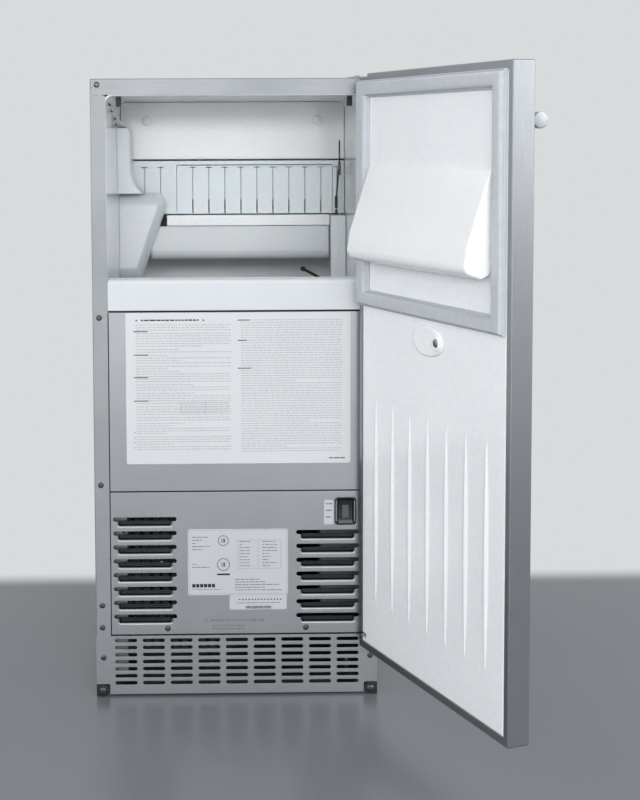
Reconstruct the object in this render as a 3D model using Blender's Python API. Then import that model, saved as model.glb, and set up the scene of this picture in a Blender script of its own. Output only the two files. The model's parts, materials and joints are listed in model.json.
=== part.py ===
"""Under-counter clear-ice maker with its door open, built from separate solids on their joint axes.

Cabinet axes: X to the right, Y into the depth, Z up from the floor. The cabinet's front sheet
lies at Y = 0 and its centre line at X = 0. The door is modelled shut and turned on its pivot.
At the end one empty carries everything, so that the origin is under the bounding box's centre.
"""

import math

import bmesh
import bpy
from mathutils import Matrix, Vector

# ---------------------------------------------------------------- driving dimensions, metres

GAP = 0.0003            # clearance between touching pieces
SHEET = 0.0012          # steel sheet of the cabinet
HALF_WIDTH = 0.1875     # half of the cabinet's width
DEPTH = 0.570           # cabinet, front sheet to back sheet
TOP = 0.8196            # top of the cabinet
TOP_LIP = 0.7986        # lower edge of the top cover's lips
UNDERSIDE = 0.0200      # bottom of the cabinet's sheets
FLANGE = 0.1677         # inner edge of the side panels' front flanges
PANEL_HALF = FLANGE - GAP

KICK_LOW, KICK_HIGH = 0.0026, 0.0818
SERVICE_LOW, SERVICE_HIGH = 0.0832, 0.2754
MID_LOW, MID_HIGH = 0.2767, 0.5147
LIP_LOW, LIP_HIGH = 0.5166, 0.5580

BIN_HALF = 0.1675       # inside half width of the bin
BIN_FRONT, BIN_BACK = 0.0235, 0.500
BIN_FLOOR, BIN_CEILING = 0.330, 0.7970
LINER = 0.0028          # thickness of the bin's plastic
FOAM_LOW, FOAM_BACK = 0.290, 0.530

SLOT_COLUMNS, SLOT_ROWS = 9, 7
SLOT_START, SLOT_PITCH_X = -0.1623, 0.0369
SLOT_LENGTH, SLOT_HEIGHT = 0.0294, 0.0049
SLOT_TOP, SLOT_PITCH_Z = 0.0755, 0.0096

LOUVRE_TOP, LOUVRE_PITCH, LOUVRE_HEIGHT = 0.2388, 0.01876, 0.00575
LOUVRE_INNER, LOUVRE_OUTER = 0.0794, 0.1632

SWITCH = (0.1446, 0.2484)            # X and Z of the rocker's centre
SWITCH_BEZEL = (0.0287, 0.0370)
ROCKER_SIZE = (0.0190, 0.0330)
ROCKER_PIVOT = 0.0040                # Y of the rocker's cross axis
ROCKER_FRONT = 0.0070                # pivot to the middle of its hollow front
ROCKER_HOLLOW = 0.0015               # how far its ends stand proud of the middle

FREEZER_FRONT = 0.3000               # front of the freezing chamber's shroud
CURTAIN_Y = 0.2950
CURTAIN_LOW, CURTAIN_HINGE, CURTAIN_HIGH = 0.6300, 0.7022, 0.7090
CURTAIN_LEFT = -0.0837               # left edge of the strips that swing
LEDGE = (-0.0985, 0.1440)            # X range of the ledge under the strips
STRIP_PITCH, STRIP_SLITS = 0.0240, 14
TROUGH_X = (-0.1223, 0.1431)
TROUGH_Y = (0.2795, 0.4800)
TROUGH_Z = (0.5620, 0.6117)
TROUGH_WALL = 0.0025
PUMP = (-0.1500, 0.2620)             # X and Y of the pump's shaft

DOOR_WIDTH, DOOR_THICK = 0.3730, 0.0275
DOOR_LOW, DOOR_HIGH = 0.0724, 0.8237
DOOR_INNER = -0.0100                 # inner face of the shut door
DOOR_OUTER = DOOR_INNER - DOOR_THICK
DOOR_SHEET, DOOR_HEM = 0.0010, 0.0090
DOOR_OPEN = 110.56                   # degrees from shut
PIVOT = (0.1778, -0.0241)
PIN_RADIUS, PIN_HOLE = 0.0030, 0.0034
ARM_HALF = 0.0060
GASKET = (0.0, 0.362, 0.5258, 0.8147)        # outer frame: from, to across the door; low, high
GASKET_HOLE = (0.030, 0.339, 0.5473, 0.7929)
GASKET_THICK = 0.0085
HANDLE_Z, HANDLE_RADIUS, HANDLE_OFFSET, HANDLE_HALF = 0.7595, 0.00915, 0.0250, 0.1575
POST_X, POST_RADIUS = 0.1290, 0.0070
RIB_COUNT, RIB_PITCH, RIB_LOW, RIB_HIGH = 7, 0.0457, 0.140, 0.410
RIB_PROUD = 0.0025                   # how far a rib stands proud of the door's liner
BOSS = (0.188, 0.5006)               # across the door from its hinge edge, and height
BOSS_SCREW_ACROSS = 0.212
DEFLECTOR = (0.033, 0.335)           # from and to, across the door from its hinge edge

HINGE_PLATE = 0.0020                 # thickness of the upper bracket
HINGE_SEAT = 0.0005                  # how deep its seat is pressed into the top cover
HINGE_SEAT_X, HINGE_SEAT_Y = 0.1500, 0.0450  # inner and rear edges of the upper bracket
LOWER_ARM, LOWER_ARM_THICK = 0.0900, 0.0025
ARM_ROOM = 0.0020                    # room in the door below and above the lower arm

COMPRESSOR = (0.0750, 0.4000, 0.0226)
CONDENSER_X, CONDENSER_Y, CONDENSER_Z = (-0.1620, -0.0080), (0.0280, 0.0580), (0.0480, 0.2520)
CONTROL_BOX = ((0.1125, 0.0340, 0.1150), (0.1640, 0.1000, 0.2700))
DRIER = (-0.0300, 0.2600, 0.0800)
WATER_INLET = (-0.1200, 0.1000)      # X and Z of the inlet valve
DRAIN = (0.1200, 0.0450)             # X and Z of the drain spigot
FAN = (-0.0850, 0.1250)              # X and Z of the fan's shaft
FAN_RADIUS, FAN_HOLE = 0.0380, 0.0410
FAN_CENTRE = 0.0770                  # Y of the middle of the fan's hub
FOOT_X, FOOT_FRONT, FOOT_REAR = 0.1500, 0.0450, 0.5250
FOOT_STUD, FOOT_HOLE = 0.0040, 0.0046

# colour, roughness, metallic
STAINLESS = ("#a9abad", 0.34, 1.0)
WHITE_ABS = ("#e6e8ea", 0.30, 0.0)
MILKY_ABS = ("#c9cdd0", 0.35, 0.0)
BLACK_PLASTIC = ("#17181a", 0.45, 0.0)
GLOSS_BLACK = ("#0c0d0e", 0.15, 0.0)
GASKET_GREY = ("#aeb4ba", 0.60, 0.0)
FOAM = ("#d8cfa8", 0.90, 0.0)
LABEL_FILM = ("#eceded", 0.55, 0.0)
ZINC = ("#b4b7ba", 0.40, 1.0)
GALVANISED = ("#9ea3a6", 0.50, 1.0)
TINNED_COPPER = ("#c6b8a6", 0.35, 1.0)
COPPER = ("#b87350", 0.30, 1.0)
BRASS = ("#b79a5b", 0.30, 1.0)
BLACK_PAINT = ("#1b1c1e", 0.40, 0.0)
ALUMINIUM = ("#b9bcbf", 0.45, 1.0)

AXES = {"X": (1, 2, 0), "Y": (0, 2, 1), "Z": (0, 1, 2)}   # where u, v and w go for each prism axis


# ---------------------------------------------------------------- modelling helpers


def linear(code):
    """Turn an sRGB hex code into a linear colour with alpha."""
    values = [int(code[i : i + 2], 16) / 255 for i in (1, 3, 5)]
    return [v / 12.92 if v <= 0.04045 else ((v + 0.055) / 1.055) ** 2.4 for v in values] + [1.0]


def material(name, finish):
    """A Principled material in the piece's own name."""
    code, roughness, metallic = finish
    made = bpy.data.materials.new(name)
    made.use_nodes = True
    shader = made.node_tree.nodes["Principled BSDF"]
    shader.inputs["Base Color"].default_value = linear(code)
    shader.inputs["Roughness"].default_value = roughness
    shader.inputs["Metallic"].default_value = metallic
    made.diffuse_color = linear(code)
    return made


def empty(name, pivot, parent=None, turn=0.0):
    """An empty on a joint's axis, which carries the pieces that move together."""
    made = bpy.data.objects.new(name, None)
    made.location = pivot
    made.rotation_euler = (0.0, 0.0, math.radians(turn))
    made.parent = parent
    bpy.context.collection.objects.link(made)
    return made


def add(name, bm, finish, group, smooth=False):
    """Link a bmesh as an object of the group, with its vertices given in cabinet axes."""
    bmesh.ops.recalc_face_normals(bm, faces=bm.faces)
    mesh = bpy.data.meshes.new(name)
    bm.to_mesh(mesh)
    bm.free()
    if smooth:
        mesh.shade_smooth()
        mesh.set_sharp_from_angle(angle=math.radians(35))
    made = bpy.data.objects.new(name, mesh)
    bpy.context.collection.objects.link(made)
    made.parent = group
    made.matrix_parent_inverse = Matrix.Translation(-group.location)
    if finish:
        mesh.materials.append(material(name, finish))
    return made


def as_cutter(made):
    """Mark an object as a cutter, which is no piece of the ice maker."""
    made.hide_render = True
    made.display_type = "WIRE"
    return made


def boolean(target, tool, operation="DIFFERENCE"):
    """Cut the tool out of the target, or join it on."""
    as_cutter(tool)
    modifier = target.modifiers.new(tool.name, "BOOLEAN")
    modifier.operation = operation
    modifier.solver = "EXACT"
    modifier.object = tool
    return target


def bevel(target, width, segments=2, angle=30):
    """Round the sharp edges of an object."""
    modifier = target.modifiers.new("edges", "BEVEL")
    modifier.width = width
    modifier.segments = segments
    modifier.limit_method = "ANGLE"
    modifier.angle_limit = math.radians(angle)
    return target


def place(axis, u, v, w):
    """A point from its two coordinates in a prism's plane and one along its axis."""
    point = [0.0, 0.0, 0.0]
    for slot, value in zip(AXES[axis], (u, v, w)):
        point[slot] = value
    return point


def prism(name, finish, group, axis, outline, span, holes=(), smooth=False):
    """An outline with holes, carried along an axis from span[0] to span[1]."""
    bm = bmesh.new()
    edges = []
    for loop in [outline, *holes]:
        verts = [bm.verts.new(place(axis, u, v, span[0])) for u, v in loop]
        edges += [bm.edges.new(pair) for pair in zip(verts, verts[1:] + verts[:1])]
    filled = bmesh.ops.triangle_fill(bm, use_beauty=True, use_dissolve=False, edges=edges)
    faces = [item for item in filled["geom"] if isinstance(item, bmesh.types.BMFace)]
    raised = bmesh.ops.extrude_face_region(bm, geom=faces)
    moved = [item for item in raised["geom"] if isinstance(item, bmesh.types.BMVert)]
    bmesh.ops.translate(bm, vec=place(axis, 0, 0, span[1] - span[0]), verts=moved)
    return add(name, bm, finish, group, smooth)


def rectangle(u_low, v_low, u_high, v_high):
    """The four corners of a rectangle."""
    return [(u_low, v_low), (u_high, v_low), (u_high, v_high), (u_low, v_high)]


def rounded(u_low, v_low, u_high, v_high, radius, steps=3):
    """A rectangle with round corners."""
    points = []
    corners = [(u_high, v_low, -90), (u_high, v_high, 0), (u_low, v_high, 90), (u_low, v_low, 180)]
    for u, v, start in corners:
        centre_u = u + (radius if u == u_low else -radius)
        centre_v = v + (radius if v == v_low else -radius)
        for i in range(steps + 1):
            angle = math.radians(start + 90 * i / steps)
            points.append((centre_u + radius * math.cos(angle), centre_v + radius * math.sin(angle)))
    return points


def circle(u, v, radius, steps=20):
    """The corners of a circle."""
    angles = [2 * math.pi * i / steps for i in range(steps)]
    return [(u + radius * math.cos(a), v + radius * math.sin(a)) for a in angles]


def block(name, finish, group, low, high):
    """A box between two corners."""
    outline = rectangle(low[0], low[1], high[0], high[1])
    return prism(name, finish, group, "Z", outline, (low[2], high[2]))


def turned(name, finish, group, profile, start, direction, steps=20):
    """A turned piece. Its profile is pairs of distance along the axis and radius."""
    bm = bmesh.new()
    line = [bm.verts.new((radius, 0.0, along)) for along, radius in profile]
    edges = [bm.edges.new(pair) for pair in zip(line, line[1:])]
    bmesh.ops.spin(
        bm, geom=line + edges, axis=(0, 0, 1), cent=(0, 0, 0),
        angle=2 * math.pi, steps=steps, use_merge=True,
    )
    bmesh.ops.remove_doubles(bm, verts=bm.verts, dist=1e-6)
    turn = Vector((0, 0, 1)).rotation_difference(Vector(direction))
    move = Matrix.Translation(start) @ turn.to_matrix().to_4x4()
    bmesh.ops.transform(bm, matrix=move, verts=bm.verts)
    return add(name, bm, finish, group, smooth=True)


def rod(name, finish, group, start, direction, length, radius, steps=20):
    """A plain round bar."""
    profile = [(0, 0), (0, radius), (length, radius), (length, 0)]
    return turned(name, finish, group, profile, start, direction, steps)


def loft(name, finish, group, front, back, span):
    """A solid between two outlines of equal length in planes across Y."""
    bm = bmesh.new()
    loops = []
    for outline, depth in zip((front, back), span):
        verts = [bm.verts.new((x, depth, z)) for x, z in outline]
        bm.faces.new(verts)
        loops.append([bm.edges.get(pair) for pair in zip(verts, verts[1:] + verts[:1])])
    bmesh.ops.bridge_loops(bm, edges=loops[0] + loops[1])
    return add(name, bm, finish, group)


def tube(name, finish, group, points, radius):
    """A bent tube through points, as a curve with a round section and filled ends."""
    curve = bpy.data.curves.new(name, "CURVE")
    curve.dimensions = "3D"
    curve.bevel_depth = radius
    curve.bevel_resolution = 2
    curve.use_fill_caps = True
    spline = curve.splines.new("POLY")
    spline.points.add(len(points) - 1)
    for target, point in zip(spline.points, points):
        target.co = (*point, 1.0)
    curve.materials.append(material(name, finish))
    made = bpy.data.objects.new(name, curve)
    bpy.context.collection.objects.link(made)
    made.parent = group
    made.matrix_parent_inverse = Matrix.Translation(-group.location)
    return made


# ---------------------------------------------------------------- cabinet


def build_case(cabinet):
    """Side panels with front flanges, top cover, back panel, base pan and kick plate."""
    for name, side in (("left_side_panel", -1), ("right_side_panel", 1)):
        outline = [
            (side * HALF_WIDTH, 0.0),
            (side * FLANGE, 0.0),
            (side * FLANGE, SHEET),
            (side * (HALF_WIDTH - SHEET), SHEET),
            (side * (HALF_WIDTH - SHEET), DEPTH),
            (side * HALF_WIDTH, DEPTH),
        ]
        prism(name, STAINLESS, cabinet, "Z", outline, (UNDERSIDE, TOP_LIP - 2 * GAP))

    cover = block(
        "top_cover", STAINLESS, cabinet, (-HALF_WIDTH, 0.0, TOP_LIP), (HALF_WIDTH, DEPTH, TOP)
    )
    hollow = block(
        "top_cover_hollow", None, cabinet,
        (SHEET - HALF_WIDTH, SHEET, TOP_LIP - 0.01),
        (HALF_WIDTH - SHEET, DEPTH - SHEET, TOP - SHEET),
    )
    boolean(cover, hollow)
    seat = block(
        "hinge_seat", None, cabinet,
        (HINGE_SEAT_X - 0.0010, -0.0100, TOP - HINGE_SEAT),
        (HALF_WIDTH + 0.0100, HINGE_SEAT_Y + 0.0010, TOP + 0.0100),
    )
    boolean(cover, seat)

    inner_half = HALF_WIDTH - SHEET - GAP
    vents = [
        rectangle(x, z, x + 0.050, z + 0.006)
        for x in (-0.140, -0.080, -0.020, 0.040)
        for z in (0.180, 0.196, 0.212)
    ]
    ports = [circle(*WATER_INLET, 0.0115), circle(*DRAIN, 0.0125)]
    prism(
        "back_panel", GALVANISED, cabinet, "Y",
        rectangle(-inner_half, UNDERSIDE + 0.0023, inner_half, TOP_LIP - 2 * GAP),
        (DEPTH - SHEET, DEPTH), vents + ports,
    )
    feet = [(x, y) for x in (-FOOT_X, FOOT_X) for y in (FOOT_FRONT, FOOT_REAR)]
    studs = [circle(x, y, FOOT_HOLE, 16) for x, y in feet]
    prism(
        "base_pan", GALVANISED, cabinet, "Z",
        rectangle(-inner_half, SHEET + GAP, inner_half, DEPTH - SHEET - GAP),
        (UNDERSIDE, UNDERSIDE + 0.0020), studs,
    )

    notch_x, notch_z = 0.1695, 0.0165
    outline = [
        (-notch_x, KICK_LOW),
        (notch_x, KICK_LOW),
        (notch_x, notch_z),
        (HALF_WIDTH, notch_z),
        (HALF_WIDTH, KICK_HIGH),
        (-HALF_WIDTH, KICK_HIGH),
        (-HALF_WIDTH, notch_z),
        (-notch_x, notch_z),
    ]
    slots = []
    for column in range(SLOT_COLUMNS):
        x = SLOT_START + column * SLOT_PITCH_X
        for row in range(SLOT_ROWS):
            z = SLOT_TOP - row * SLOT_PITCH_Z
            slots.append(rectangle(x, z - SLOT_HEIGHT / 2, x + SLOT_LENGTH, z + SLOT_HEIGHT / 2))
    prism("kick_plate", STAINLESS, cabinet, "Y", outline, (-GAP - SHEET, -GAP), slots)

    centre_x, centre_z, radius = 0.1774, 0.0084, 0.0075
    for name, side in (("kick_cap_left", -1), ("kick_cap_right", 1)):
        outline = [(side * (HALF_WIDTH - GAP), centre_z - radius)]
        outline.append((side * (HALF_WIDTH - GAP), centre_z + radius))
        for i in range(9):
            angle = math.radians(90 - 180 * i / 8)
            x = centre_x - radius * math.cos(angle)
            outline.append((side * x, centre_z + radius * math.sin(angle)))
        prism(name, BLACK_PLASTIC, cabinet, "Y", outline, (-0.0035, 0.0060))


def build_front(cabinet):
    """Bin lip, instruction panel, service panel with louvres, and the labels on them."""
    lip = [(0.0, LIP_LOW), (0.0200, LIP_LOW), (0.0200, LIP_HIGH - 0.0020), (0.0180, LIP_HIGH)]
    rounding = 0.0060
    for i in range(5):
        angle = math.radians(90 + 90 * i / 4)
        y = rounding + rounding * math.cos(angle)
        lip.append((y, LIP_HIGH - rounding + rounding * math.sin(angle)))
    prism("bin_lip", WHITE_ABS, cabinet, "X", lip, (-PANEL_HALF, PANEL_HALF))

    prism(
        "instruction_panel", STAINLESS, cabinet, "Y",
        rectangle(-PANEL_HALF, MID_LOW, PANEL_HALF, MID_HIGH), (0.0, SHEET),
    )

    slits = []
    for row in range(8):
        low = LOUVRE_TOP - row * LOUVRE_PITCH - LOUVRE_HEIGHT / 2
        slits.append(rectangle(-LOUVRE_OUTER, low, -LOUVRE_INNER, low + LOUVRE_HEIGHT))
        if row:
            slits.append(rectangle(LOUVRE_INNER, low, LOUVRE_OUTER, low + LOUVRE_HEIGHT))
    x, z = SWITCH
    half_w, half_h = SWITCH_BEZEL[0] / 2 - 0.0020, SWITCH_BEZEL[1] / 2 - 0.0020
    slits.append(rectangle(x - half_w, z - half_h, x + half_w, z + half_h))
    prism(
        "service_panel", STAINLESS, cabinet, "Y",
        rectangle(-PANEL_HALF, SERVICE_LOW, PANEL_HALF, SERVICE_HIGH), (0.0, SHEET), slits,
    )

    film = (-2 * GAP, -GAP)
    prism(
        "instruction_label", LABEL_FILM, cabinet, "Y",
        rounded(-0.1443, 0.3132, 0.1513, 0.5140, 0.002, 2), film,
    )
    prism(
        "rating_label", LABEL_FILM, cabinet, "Y",
        rounded(-0.0647, 0.1359, 0.0683, 0.2253, 0.003, 2), film,
    )


def build_switch(cabinet):
    """The switch's housing behind its bezel, and the rocker on its own cross axis."""
    x, z = SWITCH
    half_w, half_h = SWITCH_BEZEL[0] / 2, SWITCH_BEZEL[1] / 2
    housing = prism(
        "switch_housing", BLACK_PLASTIC, cabinet, "Y",
        rounded(x - half_w, z - half_h, x + half_w, z + half_h, 0.004, 2), (-0.0030, -GAP),
    )
    body = block(
        "switch_body", None, cabinet,
        (x - half_w + 0.0025, -0.0010, z - half_h + 0.0025),
        (x + half_w - 0.0025, 0.0280, z + half_h - 0.0025),
    )
    wide, high = ROCKER_SIZE[0] / 2 + 0.0006, ROCKER_SIZE[1] / 2 + 0.0006
    well = block(
        "switch_well", None, cabinet, (x - wide, -0.0100, z - high), (x + wide, 0.0180, z + high)
    )
    boolean(housing, body, "UNION")
    boolean(housing, well)

    rocker = empty("rocker_pivot", (x, ROCKER_PIVOT, z), cabinet)
    half_w, half_h = ROCKER_SIZE[0] / 2, ROCKER_SIZE[1] / 2 - 0.0008
    back, heel = ROCKER_PIVOT + 0.0060, 0.0060
    outline = [(back, z - heel), (back, z + heel)]
    for i in range(9):
        share = 1 - i / 4
        front = ROCKER_PIVOT - ROCKER_FRONT - ROCKER_HOLLOW * share**2
        outline.append((front, z + half_h * share))
    prism("rocker", GLOSS_BLACK, rocker, "X", outline, (x - half_w, x + half_w))


def build_insulated_bin(cabinet):
    """The bin's plastic liner and the foam around it, both open at the front."""
    outer = BIN_HALF + LINER
    shell = [
        (BIN_FRONT - LINER, BIN_FLOOR - LINER),
        (BIN_BACK + LINER, BIN_FLOOR - LINER),
        (BIN_BACK + LINER, BIN_CEILING + LINER),
        (SHEET + GAP, BIN_CEILING + LINER),
        (SHEET + GAP, LIP_HIGH + GAP),
        (BIN_FRONT - LINER, LIP_HIGH + GAP),
    ]
    liner = prism("bin_liner", WHITE_ABS, cabinet, "X", shell, (-outer, outer))
    cavity = block(
        "bin_cavity", None, cabinet,
        (-BIN_HALF, BIN_FRONT, BIN_FLOOR), (BIN_HALF, BIN_BACK, BIN_CEILING),
    )
    mouth = block(
        "bin_mouth", None, cabinet,
        (-BIN_HALF, -0.010, LIP_HIGH - 0.0130), (BIN_HALF, BIN_FRONT + 0.010, BIN_CEILING),
    )
    boolean(liner, cavity)
    boolean(liner, mouth)

    half = HALF_WIDTH - SHEET - GAP
    foam = block(
        "cabinet_insulation", FOAM, cabinet,
        (-half, SHEET + GAP, FOAM_LOW), (half, FOAM_BACK, TOP - SHEET - GAP),
    )
    room = block(
        "foam_room", None, cabinet,
        (-outer - GAP, BIN_FRONT - LINER - GAP, BIN_FLOOR - LINER - GAP),
        (outer + GAP, BIN_BACK + LINER + GAP, BIN_CEILING + LINER + GAP),
    )
    door_way = block(
        "foam_mouth", None, cabinet,
        (-outer - GAP, -0.010, LIP_LOW - GAP),
        (outer + GAP, BIN_FRONT + 0.010, BIN_CEILING + LINER + GAP),
    )
    boolean(foam, room)
    boolean(foam, door_way)


def build_feet(cabinet):
    """Four levelling feet, each turning on its upright stud."""
    profile = [
        (0.0, 0.0), (0.0, 0.0160), (0.0060, 0.0170), (0.0090, 0.0085),
        (0.0197, 0.0085), (0.0197, FOOT_STUD), (0.0380, FOOT_STUD), (0.0380, 0.0),
    ]
    for across, x in (("left", -FOOT_X), ("right", FOOT_X)):
        for along, y in (("front", FOOT_FRONT), ("rear", FOOT_REAR)):
            name = f"levelling_foot_{along}_{across}"
            axis = empty(name + "_axis", (x, y, 0.0), cabinet)
            turned(name, BLACK_PLASTIC, axis, profile, (x, y, 0.0), (0, 0, 1), 16)


# ---------------------------------------------------------------- freezing chamber


def build_chamber(cabinet):
    """Shroud, strip curtain, trough, evaporator and spray bar."""
    shroud = prism(
        "evaporator_shroud", WHITE_ABS, cabinet, "Y",
        rectangle(-BIN_HALF + GAP, 0.7120, BIN_HALF - GAP, BIN_CEILING - GAP),
        (FREEZER_FRONT, FREEZER_FRONT + 0.0025),
    )
    boss_x, boss_z, boss_radius = 0.1280, 0.7690, 0.0080
    for side in (-1, 1):
        start = (side * boss_x, FREEZER_FRONT - 0.0015, boss_z)
        cap = rod(f"shroud_boss_{side}", None, cabinet, start, (0, 1, 0), 0.0030, boss_radius, 16)
        boolean(shroud, cap, "UNION")

    build_curtain(cabinet)

    prism(
        "curtain_ledge", WHITE_ABS, cabinet, "X",
        rectangle(0.2850, TROUGH_Z[1] + GAP, FREEZER_FRONT, CURTAIN_LOW - 0.0016), LEDGE,
    )

    radius, lean, shoulder = 0.0120, 0.0035, 0.0190
    outer = [(TROUGH_Y[1], TROUGH_Z[1]), (TROUGH_Y[0] + lean, TROUGH_Z[1])]
    outer.append((TROUGH_Y[0], TROUGH_Z[1] - shoulder))
    for i in range(5):
        angle = math.radians(180 + 90 * i / 4)
        y = TROUGH_Y[0] + radius + radius * math.cos(angle)
        outer.append((y, TROUGH_Z[0] + radius + radius * math.sin(angle)))
    outer.append((TROUGH_Y[1], TROUGH_Z[0]))
    trough = prism("water_trough", WHITE_ABS, cabinet, "X", outer, TROUGH_X)
    wall = TROUGH_WALL
    water = block(
        "trough_room", None, cabinet,
        (TROUGH_X[0] + wall, TROUGH_Y[0] + wall + 0.0040, TROUGH_Z[0] + wall + 0.0035),
        (TROUGH_X[1] - wall, TROUGH_Y[1] - wall, TROUGH_Z[1] + 0.010),
    )
    boolean(trough, water)

    pockets = []
    cell, wall = 0.034, 0.004
    for column in range(8):
        for row in range(4):
            x = -0.150 + column * (cell + wall)
            y = 0.325 + row * (cell + wall)
            pockets.append(rectangle(x, y, x + cell, y + cell))
    prism(
        "evaporator_plate", TINNED_COPPER, cabinet, "Z",
        rectangle(-0.154, 0.321, 0.152, 0.477), (0.7350, 0.7600), pockets,
    )

    points = []
    pitch, reach, height = 0.030, 0.128, 0.7660
    for run in range(5):
        y = 0.339 + run * pitch
        side = 1 if run % 2 else -1
        points += [(side * reach, y, height), (-side * reach, y, height)]
        if run == 4:
            break
        for i in range(1, 4):
            angle = math.radians(-90 + 45 * i)
            bend = pitch / 2
            x = -side * (reach + bend * math.cos(angle))
            points.append((x, y + bend + bend * math.sin(angle), height))
    tube("evaporator_coil", COPPER, cabinet, points, 0.0050)

    bar_x, bar_y, bar_z = -0.1100, 0.4000, 0.6400
    bar = rod("spray_bar", MILKY_ABS, cabinet, (bar_x, bar_y, bar_z), (1, 0, 0), 0.2400, 0.0080, 16)
    for i in range(5):
        start = (bar_x + 0.0200 + 0.0500 * i, bar_y, bar_z + 0.0040)
        nozzle = rod(f"spray_nozzle_{i}", None, cabinet, start, (0, 0, 1), 0.0120, 0.0030, 10)
        boolean(bar, nozzle, "UNION")


def tee(x):
    """The cut between two strips: a short bar above a slit that widens low down."""
    top, low, wide_from = 0.7010, 0.6316, 0.6480
    bar, slit, wide = 0.0045, 0.0004, 0.0008
    right = [(x + wide, low), (x + wide, wide_from), (x + slit, wide_from), (x + slit, top - 0.001)]
    right += [(x + bar, top - 0.001), (x + bar, top)]
    return right + [(2 * x - u, v) for u, v in reversed(right)]


def build_curtain(cabinet):
    """The fixed header with the strips behind the pump cover, and the strips that swing."""
    slits = [STRIP_PITCH * (i - (STRIP_SLITS - 1) / 2) for i in range(STRIP_SLITS)]
    band = CURTAIN_HINGE + 0.0013
    outline = [
        (-BIN_HALF + GAP, CURTAIN_LOW),
        (CURTAIN_LEFT - 0.0006, CURTAIN_LOW),
        (CURTAIN_LEFT - 0.0006, band),
        (BIN_HALF - GAP, band),
        (BIN_HALF - GAP, CURTAIN_HIGH),
        (-BIN_HALF + GAP, CURTAIN_HIGH),
    ]
    span = (CURTAIN_Y, CURTAIN_Y + 0.0015)
    fixed = [tee(x) for x in slits if x < CURTAIN_LEFT - 0.005]
    prism("curtain_header", MILKY_ABS, cabinet, "Y", outline, span, fixed)
    swing = empty("curtain_pivot", (0.0, CURTAIN_Y + 0.00075, CURTAIN_HINGE), cabinet)
    flap = rectangle(CURTAIN_LEFT, CURTAIN_LOW, BIN_HALF - 0.0010, CURTAIN_HINGE)
    cuts = [tee(x) for x in slits if x > CURTAIN_LEFT + 0.005]
    prism("water_curtain", MILKY_ABS, swing, "Y", flap, span, cuts)


def build_water_parts(cabinet):
    """Pump with its cover, the fill cover above it, and the level probe in its housing."""
    wall_x = -BIN_HALF + GAP
    front_y, back_y, wall = 0.2500, 0.2770, 0.0022
    front = [
        (wall_x, 0.5540), (-0.1437, 0.5547), (-0.1139, 0.6390),
        (-0.1124, 0.6425), (-0.1150, 0.6434), (wall_x, 0.6434),
    ]
    back = [
        (wall_x, 0.5312), (-0.1384, 0.5312), (-0.1030, 0.6300),
        (-0.0998, 0.6420), (-0.1120, 0.6625), (wall_x, 0.6625),
    ]
    cover = loft("pump_cover", MILKY_ABS, cabinet, front, back, (front_y, back_y))
    inner_front = [
        (wall_x + wall, 0.5580), (-0.1460, 0.5580), (-0.1172, 0.6380),
        (-0.1165, 0.6395), (-0.1180, 0.6405), (wall_x + wall, 0.6405),
    ]
    inner_back = [
        (wall_x + wall, 0.5345), (-0.1405, 0.5345), (-0.1060, 0.6300),
        (-0.1030, 0.6410), (-0.1135, 0.6595), (wall_x + wall, 0.6595),
    ]
    span = (front_y + wall, back_y + 0.0015)
    boolean(cover, loft("pump_cover_hollow", None, cabinet, inner_front, inner_back, span))

    x, y = PUMP
    pump = turned(
        "circulation_pump", BLACK_PLASTIC, cabinet,
        [(0, 0), (0, 0.0090), (0.0100, 0.0090), (0.0105, 0.0070), (0.0480, 0.0070), (0.0480, 0)],
        (x, y, 0.5750), (0, 0, 1), 16,
    )
    volute = rod("pump_volute", None, cabinet, (x, y, 0.5700), (0, 0, 1), 0.0120, 0.0076, 16)
    boolean(pump, volute)
    axis = empty("impeller_axis", (x, y, 0.5750), cabinet)
    blades = []
    for i in range(20):
        radius = 0.0068 if i % 4 in (0, 1) else 0.0026
        angle = 2 * math.pi * i / 20
        blades.append((x + radius * math.cos(angle), y + radius * math.sin(angle)))
    prism("pump_impeller", WHITE_ABS, axis, "Z", blades, (0.5756, 0.5810))

    fill = prism(
        "fill_cover", MILKY_ABS, cabinet, "Y",
        [
            (wall_x, 0.6655), (-0.1480, 0.6655), (-0.1480, 0.7520),
            (-0.1492, 0.7558), (-0.1530, 0.7577), (wall_x, 0.7577),
        ],
        (0.2170, 0.2770),
    )
    inside = block(
        "fill_cover_hollow", None, cabinet,
        (wall_x + 0.002, 0.2190, 0.6600), (-0.1500, 0.2850, 0.7540),
    )
    boolean(fill, inside)

    housing = block(
        "probe_housing", MILKY_ABS, cabinet, (0.1446, 0.2620, 0.5050), (BIN_HALF - GAP, 0.2840, 0.6280)
    )
    bevel(housing, 0.0020)
    tip = Vector((0.1000, 0.2720, 0.5500))
    socket = Vector((0.1443 - 0.0010, 0.2720, 0.5270))
    reach = socket - tip
    ball = 0.0040
    profile = [(0, 0)]
    for i in range(1, 6):
        angle = math.radians(150 * i / 5)
        profile.append((ball - ball * math.cos(angle), ball * math.sin(angle)))
    profile += [(reach.length, ball * 0.5), (reach.length, 0)]
    turned("bin_probe", BLACK_PLASTIC, cabinet, profile, tip, reach.normalized(), 12)

    for name, side in (("ceiling_clip_left", -1), ("ceiling_clip_right", 1)):
        outer, inner = side * 0.1560, side * 0.1490
        block(
            name, BLACK_PLASTIC, cabinet,
            (min(outer, inner), 0.0300, 0.7840), (max(outer, inner), 0.0380, BIN_CEILING - GAP),
        )


# ---------------------------------------------------------------- machine compartment


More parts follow.
